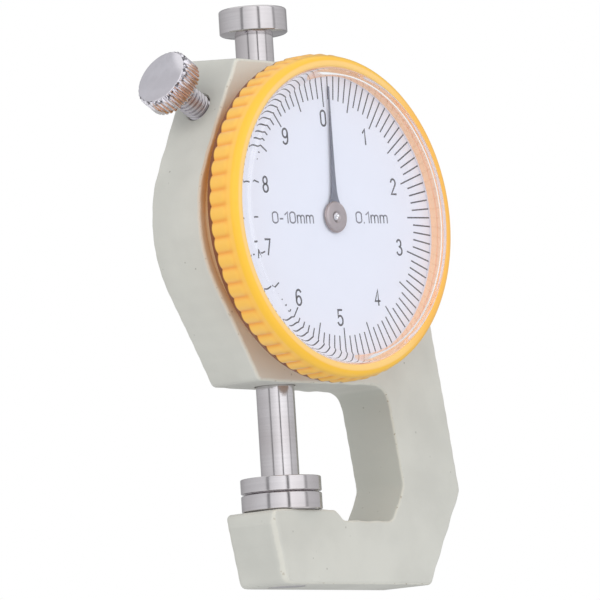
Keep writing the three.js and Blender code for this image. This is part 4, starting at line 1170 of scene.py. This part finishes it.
@dataclass
class DialSet:
    """The turning set: bezel, crystal, dial plate and its print."""

    face: float = -11.09
    back: float = -10.69
    turn: float = math.radians(-2.64)
    rim_radius: float = 19.89
    inner_radius: float = 18.32
    lobes: int = 65
    figure_height: float = 2.12
    figure_stroke: float = 0.24
    word_height: float = 1.52
    word_stroke: float = 0.19
    figure_places: tuple[Pair, ...] = (
        (-0.85, 12.24), (6.48, 10.36), (11.35, 4.39), (11.78, -3.19), (7.11, -9.63),
        (0.06, -12.4), (-7.26, -10.2), (-12.2, -4.24), (-12.01, 3.44), (-7.96, 9.57))
    ink: float = 0.012
    ink_gap: float = 0.002

    def build(self) -> None:
        """Builds every piece of the turning set."""
        self.build_bezel()
        self.build_crystal()
        r, e = 18.29, 0.08
        profile = [(1.0, self.face), (r - e, self.face), (r, self.face + e), (r, self.back), (1.0, self.back),
                   (1.0, self.face)]
        plate = turned("dial_plate_fine", profile, Axis.DIAL, 160)
        install(plate, "bezel_set", Finishes.dial, "dial_plate")
        self.build_marks()
        self.build_figures()

    def build_bezel(self) -> None:
        """Builds the bezel as one turned ring whose rim swells into lobes."""
        rim, bore, skirt, groove, inner = self.rim_radius, 15.2, 16.35, 15.435, self.inner_radius
        rear, step, seat, side_back, side_front = -7.4, -9.15, self.back + 0.04, -9.65, -12.6
        groove_front, groove_back, crown, lip = -8.83, -8.21, 1.0, 0.36
        profile = [(bore, rear), (skirt, rear), (skirt, step), (rim + 0.06, step), (rim + 0.14, step - 0.08)]
        profile += [(rim + 0.14, side_back + 0.04)]
        profile += [(rim, side_back + (side_front - side_back) * k / 14) for k in range(15)]
        profile += round_edge((rim - crown, side_front), crown, 0, -78, 10)[1:]
        profile += round_edge((inner + lip, -13.24), lip, -90, -180, 5)
        profile += [(inner, seat), (bore, seat), (bore, groove_front), (groove, groove_front)]
        profile += [(groove, groove_back), (bore, groove_back), (bore, rear)]
        ring = turned("bezel_fine", profile, Axis.DIAL, self.lobes * 12, 50)
        grown(ring, grip_flutes, Finishes.get(Finishes.orange), count=self.lobes, height=0.35 * MM,
              rim_radius=rim * MM, rim_depth=0.3 * MM, front=-12.9 * MM, back=-11.6 * MM, rear=-9.63 * MM,
              phase=-self.turn, centre_height=DIAL_HEIGHT * MM)
        install(finish_mesh(ring, 42), "bezel_set", Finishes.orange, "bezel")

    def build_crystal(self) -> None:
        """Builds the crystal, a flat disc that turns down into a wall, and two rings seen through it."""
        outer, front, foot, wall, edge, plate, turn_in = 18.24, -14.35, -11.13, 0.5, 0.9, 0.85, 0.75
        profile = [(0.0, front)] + round_edge((outer - edge, front + edge), edge, -90, 0, 12)
        profile += [(outer, foot), (outer - wall, foot)]
        profile += round_edge((outer - wall - turn_in, front + plate + turn_in), turn_in, 0, -90, 10)
        profile += [(0.0, front + plate)]
        crystal = turned("crystal_fine", profile, Axis.DIAL, 192, 60)
        install(crystal, "bezel_set", Finishes.clear, "crystal")
        rim = outer - 0.005
        # The seat ring lies in the orange finish's inner wall zone, so it takes that painted light and glow.
        for name, inner, start, end, finish in (
                ("crystal_seat", outer - 0.09, foot - 0.06, -12.1, Finishes.orange),
                ("crystal_foot", outer - wall + 0.01, foot - 0.005, foot - 0.05, Finishes.dial)):
            ring = [(inner, start), (inner, end), (rim, end), (rim, start), (inner, start)]
            install(turned(name, ring, Axis.DIAL, 192), "bezel_set", finish)

    def build_marks(self) -> None:
        """Prints the hundred scale marks."""
        marks = mesh_piece("dial_marks", [], [])
        layer = self.face - self.ink / 2 - self.ink_gap
        grown(marks, scale_marks, Finishes.get(Finishes.print_dark), count=100, every=5, outer=18.0 * MM,
              short_inner=14.65 * MM, long_inner=13.65 * MM, width=0.18 * MM, thickness=self.ink * MM,
              phase=self.turn, centre=(0.0, layer * MM, DIAL_HEIGHT * MM))
        install(marks, "bezel_set", Finishes.print_dark)

    def words(self, name: str, text: str, place: Pair, height: float, width: float, stroke: float) -> Piece:
        """Prints a line of figures on the dial.

        Args:
            name: Name of the piece.
            text: The figures.
            place: Centre of the line along X and above the dial's centre.
            height: Height of the figures in millimetres.
            width: Width of the whole line in millimetres.
            stroke: Width of the printed stroke in millimetres.

        Returns:
            The printed line.
        """
        lines = Figures.line(text)
        span = max(x for line in lines for x, _ in line)
        across, up = (width - stroke) / span, height - stroke
        near = self.face - self.ink_gap - self.ink
        verts, faces = [], []
        for line in lines:
            points = [Vector(((x - span / 2) * across, (z - 0.5) * up)) for x, z in line]
            first = len(verts)
            for i, here in enumerate(points):
                before = (here - points[max(i - 1, 0)]).normalized()
                after = (points[min(i + 1, len(points) - 1)] - here).normalized()
                along = (before + after).normalized()
                lean = max(0.7, along.dot(after if after.length else before))
                side = Vector((-along.y, along.x)) * stroke / 2 / lean
                grow = along * stroke * 0.3 * ((i == len(points) - 1) - (i == 0))
                for offset in (side, -side):
                    spot = here + offset + grow
                    verts += [(spot.x, near, spot.y), (spot.x, near + self.ink, spot.y)]
            for i in range(first, len(verts) - 4, 4):
                faces += [[i, i + 2, i + 6, i + 4], [i + 1, i + 5, i + 7, i + 3], [i, i + 4, i + 5, i + 1],
                          [i + 2, i + 3, i + 7, i + 6]]
            last = len(verts) - 4
            faces += [[first, first + 1, first + 3, first + 2], [last, last + 2, last + 3, last + 1]]
        piece = mesh_piece(name, verts, faces, 20)
        centre = Matrix.Translation((place[0] * MM, 0, (DIAL_HEIGHT + place[1]) * MM))
        piece.data.transform(centre @ Matrix.Rotation(self.turn, 4, "Y"))
        return piece

    def build_figures(self) -> None:
        """Prints the ten figures and the two lines beside the centre."""
        for n, place in enumerate(self.figure_places):
            height = self.figure_height
            width = height * (0.3 if n == 1 else 0.52)
            figure = self.words(f"dial_figure_{n}", str(n), place, height, width, self.figure_stroke)
            install(figure, "bezel_set", Finishes.print_dark)
        for name, text, place, width in (("dial_range", "0-10mm", (-7.43, -0.4), 7.5),
                                         ("dial_step", "0.1mm", (6.97, 0.32), 5.9)):
            line = self.words(name, text, place, self.word_height, width, self.word_stroke)
            install(line, "bezel_set", Finishes.print_grey)


@dataclass
class PointerSet:
    """The needle, its hub and the arbor tip that the hub is pressed on."""

    back: float = -11.3
    needle_thickness: float = 0.16
    needle_edge: float = 0.03
    needle_start: float = 0.8
    hub_front: float = -11.68
    hub_radius: float = 1.96
    length: float = 16.2
    turn: float = math.radians(0.6)
    dent: float = 0.07
    dent_back: float = -11.5

    def half_width(self, z: float) -> float:
        """Gives half the needle's width at a distance from the centre."""
        share = max(0.0, (z - 1.4) / (self.length - 1.4))
        flare = 0.5 * math.exp(-max(0.0, z - 1.7) / 0.8)
        return 0.08 + 0.4 * (1 - share) ** 1.5 + flare

    def needle(self) -> Piece:
        """Builds the needle, with its front edge broken."""
        stations = [self.needle_start + (self.length - self.needle_start) * k / 40 for k in range(41)]
        outline = [(-self.half_width(z), z) for z in stations]
        outline += [(self.half_width(z), z) for z in reversed(stations)]
        front, edge = self.back - self.needle_thickness, self.needle_edge
        return lofted("needle_fine", [
            [(x, self.back, z) for x, z in outline],
            [(x, front + edge, z) for x, z in outline],
            [(x - math.copysign(min(edge, abs(x)), x), front, z) for x, z in outline],
        ], 35)

    def build(self) -> None:
        """Builds the pointer and the arbor's fine end."""
        r, bore, back, front = self.hub_radius, 0.52, self.back, self.hub_front
        profile = [(bore, back), (r - 0.08, back), (r, back - 0.08)]
        profile += round_edge((r - 0.34, front + 0.34), 0.34, 0, -80, 6)
        profile += [(r - 0.9, front), (bore + 0.26, front), (bore, front + 0.2), (bore, back)]
        place = Matrix.Translation((0, 0, DIAL_HEIGHT * MM)) @ Matrix.Rotation(self.turn, 4, "Y")
        needle, hub = self.needle(), turned("hub_fine", profile, Axis.Y)
        for piece, finish in ((needle, Finishes.needle), (hub, Finishes.hub)):
            piece.data.transform(place)
            install(piece, "pointer_set", finish, "pointer")
        arbor = turned("centre_arbor_fine", [
            (0, -11.8), (0.16, -11.79), (0.3, -11.76), (0.42, -11.7), (0.5, -11.6), (0.5, -11.24),
            (0.6, -11.24), (0.6, -3.78), (0.3, -3.78), (0.3, -2.925), (0, -2.925)], Axis.DIAL, 48)
        for vertex in arbor.data.vertices:
            if vertex.co.y < self.dent_back * MM:
                x, up = vertex.co.x / MM, vertex.co.z / MM - DIAL_HEIGHT
                vertex.co.y += self.dent * MM * math.sin(9 * x + 2) * math.cos(8 * up - 1)
        install(arbor, "pointer_set", Finishes.ground, "centre_arbor")


# Clamp screw and back


@dataclass
class ClampSet:
    """The clamp screw with its knurled knob and the plug in front of it."""

    knob_radius: float = 3.85
    core_radius: float = 3.55
    knob_edge: float = 0.14
    standoff: float = 4.1
    thickness: float = 3.0
    shank_radius: float = 1.7
    shank_low: float = -6.9
    thread_depth: float = 0.3
    pitch: float = 0.6
    ridges: int = 36
    ridge_root: float = 0.15

    @staticmethod
    def placing() -> Matrix:
        """Gives the turn and place of the clamp axis, whose own Y points outwards."""
        tilt = math.radians(28.5)
        outward = Vector((-math.cos(tilt), 0, math.sin(tilt)))
        turn = Vector((0, 1, 0)).rotation_difference(outward).to_matrix().to_4x4()
        return Matrix.Translation((-10.94189 * MM, 0, 59.07428 * MM)) @ turn

    def build(self) -> None:
        """Builds the knob, the threaded shank and the plug."""
        knob, shank = self.knob(), self.shank()
        profile = [(0, -9.232), (0.4, -9.232), (1.3, -8.332), (1.3, -7.632), (0, -7.632)]
        plug = turned("clamp_plug_fine", profile, Axis.Y, 64)
        low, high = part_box("clamp_plug")
        for piece in (knob, shank, plug):
            piece.data.transform(self.placing())
        log.info("plug node spans %.2f to %.2f mm in X", low.x / MM, high.x / MM)
        install(knob, "clamp_screw_set", Finishes.chrome, "clamp_screw")
        install(shank, "clamp_screw_set", Finishes.thread, "clamp_screw")
        install(plug, "clamp_feed_set", Finishes.brass, "clamp_plug")

    def knob(self) -> Piece:
        """Builds the knob: a round core with a ring of ridges."""
        base, core, edge = self.standoff, self.core_radius, self.knob_edge
        top = base + self.thickness
        profile = [(0, base), (core - 0.3, base), (core, base + 0.3), (core, top - edge)]
        profile += round_edge((core - edge, top - edge), edge, 0, 90, 4) + [(0, top)]
        knob = turned("clamp_knob", profile, Axis.Y, 144)
        ridge = grown(self.ridge(base, top), ring_of_copies, Finishes.get(Finishes.chrome), count=self.ridges,
                      phase=0.0, centre=(0.0, 0.0, 0.0))
        return finish_mesh(combined(knob, [ridge], "UNION"), 34)

    def ridge(self, base: float, top: float) -> Piece:
        """Makes one rounded ridge of the knurl, at the top of the rim.

        Args:
            base: Lower end of the knob.
            top: Upper end of the knob.

        Returns:
            The ridge.
        """
        core, crest, root = self.core_radius, self.knob_radius, self.core_radius - self.ridge_root
        half = math.pi * core / self.ridges * 0.94
        section = [(-half, root), (half, root), (half * 0.62, core + 0.16), (half * 0.22, crest),
                   (-half * 0.22, crest), (-half * 0.62, core + 0.16)]
        layers = []
        ends = ((base + 0.12, 0.82), (base + 0.32, 1.0), (top - 0.4, 1.0), (top - self.knob_edge, 0.55))
        for y, share in ends:
            narrow = 0.9 if share < 1 else 1
            layers.append([(x * narrow, y, root + (z - root) * share) for x, z in section])
        return lofted("knurl_ridge", layers, 40)

    def shank(self) -> Piece:
        """Builds the shank with its helical thread."""
        r, low, top, bevel = self.shank_radius, self.shank_low, self.standoff + 0.4, 0.3
        rows = round((top - low) / self.pitch * 20)
        profile = [(0.0, low), (r - bevel, low)]
        profile += [(r, low + bevel + (top - low - bevel) * k / rows) for k in range(rows + 1)]
        shank = turned("clamp_shank", profile + [(0.0, top)], Axis.Y, 72)
        grown(shank, screw_thread, Finishes.get(Finishes.thread), pitch=self.pitch * MM,
              depth=self.thread_depth * MM, crest_radius=r * MM, start=(low + 0.35) * MM,
              end=(self.standoff + 0.1) * MM)
        return finish_mesh(shank, 75)


@dataclass
class BackSet:
    """The cover at the back of the head with its three countersunk screws."""

    radius: float = 14.09
    front: float = 3.3
    back: float = 4.1
    edge: float = 0.14
    screws: int = 3
    screw_circle: float = 12.79
    head_radius: float = 1.0
    slot_depth: float = 0.22
    slot_half: Pair = (1.6, 0.15)

    def build(self) -> None:
        """Builds the cover and its screws."""
        r, e, front, back = self.radius, self.edge, self.front, self.back
        cover = turned("back_cover_fine", [(0, front), (r - 0.05, front), (r, front + 0.05)]
                       + round_edge((r - e, back - e), e, 0, 90, 4) + [(0, back)], Axis.DIAL, 160)
        sinks = []
        for n in range(self.screws):
            a = TURN * n / self.screws
            place = (self.screw_circle * math.cos(a), self.screw_circle * math.sin(a))
            profile = [(0, 2), (0.64, 2), (0.64, 3.46), (1.04, back), (1.04, 5), (0, 5)]
            sinks.append(turned(f"sink_{n}", profile, Axis.DIAL, 48, shift=place))
        combined(cover, sinks, "DIFFERENCE")
        install(even_normals(finish_mesh(cover, 35)), "frame", Finishes.cast, "back_cover")
        self.build_screws()

    def build_screws(self) -> None:
        """Builds one slotted screw and sets copies of it round the dial axis."""
        head, top = self.head_radius, self.back
        profile = [(0, 2.2), (0.5, 2.2), (0.6, 2.3), (0.6, 3.5), (head, top - 0.06)]
        profile += [(head - 0.05, top - 0.01), (0, top - 0.01)]
        screw = turned("cover_screws_fine", profile, Axis.Y, 48, shift=(self.screw_circle, 0.0))
        half_x, half_z = self.slot_half
        slot = lofted("slot", [[(self.screw_circle + sx * half_x, y, sz * half_z)
                                for sx, sz in ((-1, -1), (1, -1), (1, 1), (-1, 1))]
                               for y in (top - self.slot_depth, top + 1)])
        combined(screw, [slot], "DIFFERENCE")
        grown(screw, ring_of_copies, Finishes.get(Finishes.screw), count=self.screws, phase=0.0,
              centre=(0.0, 0.0, DIAL_HEIGHT * MM))
        nodes = [f"cover_screw_{n + 1}" for n in range(self.screws)]
        install(finish_mesh(screw), "frame", Finishes.screw, *nodes)


@dataclass
class Movement:
    """The inner pieces, which keep their frame shapes and get their own finishes."""

    def build(self) -> None:
        """Gives each inner node its finish."""
        looks = {
            Finishes.brass: ("guide_rail", "movement_plate", "pinion_bridge", "centre_bush", "centre_gear",
                             "drive_gear", "hairspring_wheel", "hairspring_stud"),
            Finishes.spring: ("guide_pin", "return_spring", "spring_anchor", "hairspring", "bezel_spring"),
            Finishes.ground: ("pinion_arbor", "hairspring_arbor"),
            Finishes.screw: ("plate_screw_1", "plate_screw_2", "plate_screw_3", "plate_screw_4",
                             "bridge_screw_1", "bridge_screw_2"),
        }
        for finish, names in looks.items():
            for name in names:
                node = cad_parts[name]
                for slot in node.material_slots:
                    slot.material = Finishes.get(finish)
                if not node.material_slots:
                    node.data.materials.append(Finishes.get(finish))
                log.info("%s keeps its shape, %s", name, finish.name)


# Studio


@dataclass
class Studio:
    """Floor, world, lamps, reflection wall and the camera."""

    lens: float = 360.0
    sensor: float = 36.0
    camera_place: tuple[float, float, float] = (-542.814, -500.402, -45.411)
    camera_aim: tuple[float, float, float] = (0.73429, 0.67006, 0.10880)
    camera_roll: float = math.radians(-3.496)
    ambient: float = 0.8
    lamp_aim: tuple[float, float, float] = (0.005, 0.0, 0.036)
    wall_radius: float = 450.0
    wall_ends: Pair = (-350.0, 560.0)
    wall_sides: int = 180
    wall_heading: float = math.radians(-137.6)
    wall_greys: tuple[tuple[int, float], ...] = (
        (-180, 0.4), (-150, 0.45), (-134, 0.54), (-122, 0.6), (-50, 0.8), (-43, 0.76), (-40, 0.34),
        (-34, 0.34), (-31, 0.86), (11, 1.25), (16, 1.1), (18, 0.28), (23, 0.28), (26, 1.35), (68, 1.15),
        (74, 0.5), (79, 0.5), (83, 0.76), (124, 0.66), (142, 0.56), (154, 0.36), (175, 0.36))
    floor_half: float = 900.0
    floor_low: float = -0.05

    def camera(self) -> None:
        """Sets the camera at the photograph's place."""
        data = bpy.data.cameras.new("camera")
        data.lens = self.lens
        data.sensor_width = self.sensor
        data.clip_end = 20.0
        forward = Vector(self.camera_aim).normalized()
        across = forward.cross(Vector((0, 0, 1))).normalized()
        up = across.cross(forward)
        cosine, sine = math.cos(self.camera_roll), math.sin(self.camera_roll)
        right = across * cosine + up * sine
        top = up * cosine - across * sine
        turn = Matrix((right, top, -forward)).transposed().to_4x4()
        camera = bpy.data.objects.new("camera", data)
        camera.matrix_world = Matrix.Translation(Vector(self.camera_place) * MM) @ turn
        bpy.context.scene.collection.objects.link(camera)
        bpy.context.scene.camera = camera

    def world(self) -> None:
        """Makes a world that shows white and lights the object at a plain level."""
        world = bpy.data.worlds.new("studio")
        tree = emptied(world)
        path = tree.add("ShaderNodeLightPath").outputs
        seen = tree.math("MAXIMUM", path["Is Camera Ray"], path["Is Glossy Ray"])
        soft = tree.add("ShaderNodeBackground", {"Color": (0.95, 0.97, 1.0, 1.0), "Strength": self.ambient})
        white = tree.add("ShaderNodeBackground", {"Color": (1.0, 1.0, 1.0, 1.0), "Strength": 1.0})
        mix = tree.add("ShaderNodeMixShader", {0: seen, 1: soft.outputs[0], 2: white.outputs[0]})
        tree.add("ShaderNodeOutputWorld", {"Surface": mix.outputs[0]})
        bpy.context.scene.world = world

    def lamp(self, name: str, place: tuple[float, float, float], size: float, power: float) -> None:
        """Adds a soft square lamp that faces the middle of the gauge.

        Args:
            name: Name of the lamp.
            place: Place in metres.
            size: Side of the lamp in metres.
            power: Power in watts.
        """
        data = bpy.data.lights.new(name, "AREA")
        data.size = size
        data.energy = power
        lamp = bpy.data.objects.new(name, data)
        lamp.location = place
        aim = Vector(self.lamp_aim) - Vector(place)
        lamp.rotation_euler = aim.to_track_quat("-Z", "Y").to_euler()
        lamp.visible_glossy = False
        bpy.context.scene.collection.objects.link(lamp)

    def wall(self) -> None:
        """Stands a grey and white wall round the gauge that only reflections show."""
        verts, faces = [], []
        for i in range(self.wall_sides):
            a = TURN * i / self.wall_sides
            foot = (self.wall_radius * math.cos(a), self.wall_radius * math.sin(a))
            verts += [(*foot, z) for z in self.wall_ends]
            j = (i + 1) % self.wall_sides
            faces.append([2 * i, 2 * i + 1, 2 * j + 1, 2 * j])
        wall = mesh_piece("reflection_wall", verts, faces)
        material = bpy.data.materials.new("reflection_wall")
        tree = emptied(material)
        x, y, _ = tree.parts(tree.coords())
        # The angle runs from the direction behind the camera, to its right.
        cosine, sine = math.cos(self.wall_heading), math.sin(self.wall_heading)
        along = tree.plus(tree.times(x, cosine), tree.times(y, sine))
        across = tree.plus(tree.times(x, -sine), tree.times(y, cosine))
        share = tree.plus(tree.math("DIVIDE", tree.math("ARCTAN2", across, along), TURN), 0.5)
        bands = tree.add("ShaderNodeValToRGB", {0: share})
        ramp = bands.color_ramp
        ramp.interpolation = "LINEAR"
        while len(ramp.elements) < len(self.wall_greys):
            ramp.elements.new(0.5)
        for element, (angle, grey) in zip(ramp.elements, self.wall_greys):
            element.position = (angle + 180) / 360
            element.color = (grey, grey, grey * 1.02, 1.0)
        glow = tree.add("ShaderNodeEmission", {"Color": bands.outputs[0]})
        tree.add("ShaderNodeOutputMaterial", {"Surface": glow.outputs[0]})
        wall.data.materials.append(material)
        wall.visible_camera = wall.visible_diffuse = wall.visible_shadow = wall.visible_transmission = False

    def floor(self) -> None:
        """Lays a pale floor that can be looked through from below."""
        half, low = self.floor_half, self.floor_low
        corners = [(-half, -half, low), (half, -half, low), (half, half, low), (-half, half, low)]
        floor = mesh_piece("floor", corners, [[0, 1, 2, 3]])
        material = bpy.data.materials.new("floor")
        tree = emptied(material)
        pale = (0.93, 0.93, 0.94, 1.0)
        paint = tree.add("ShaderNodeBsdfPrincipled", {"Base Color": pale, "Roughness": 0.8})
        clear = tree.add("ShaderNodeBsdfTransparent")
        under = tree.add("ShaderNodeNewGeometry").outputs["Backfacing"]
        mix = tree.add("ShaderNodeMixShader", {0: under, 1: paint.outputs[0], 2: clear.outputs[0]})
        tree.add("ShaderNodeOutputMaterial", {"Surface": mix.outputs[0]})
        floor.data.materials.append(material)
        floor.visible_diffuse = floor.visible_glossy = False

    def build(self) -> None:
        """Builds the whole studio."""
        self.camera()
        self.world()
        self.floor()
        self.wall()
        self.lamp("key", (-1.0, -0.35, 0.4), 0.8, 3.2)
        self.lamp("fill", (0.2, -1.0, 0.25), 0.8, 2.6)
        bpy.context.scene.view_settings.view_transform = "Standard"


def main() -> None:
    """Builds the gauge, its finishes and the studio."""
    logging.basicConfig(level=logging.INFO, format="%(name)s: %(message)s")
    Studio().build()
    for part in (Casting(), SpindleLine(), DialSet(), PointerSet(), ClampSet(), BackSet(), Movement()):
        part.build()


if __name__ == "__main__":
    main()
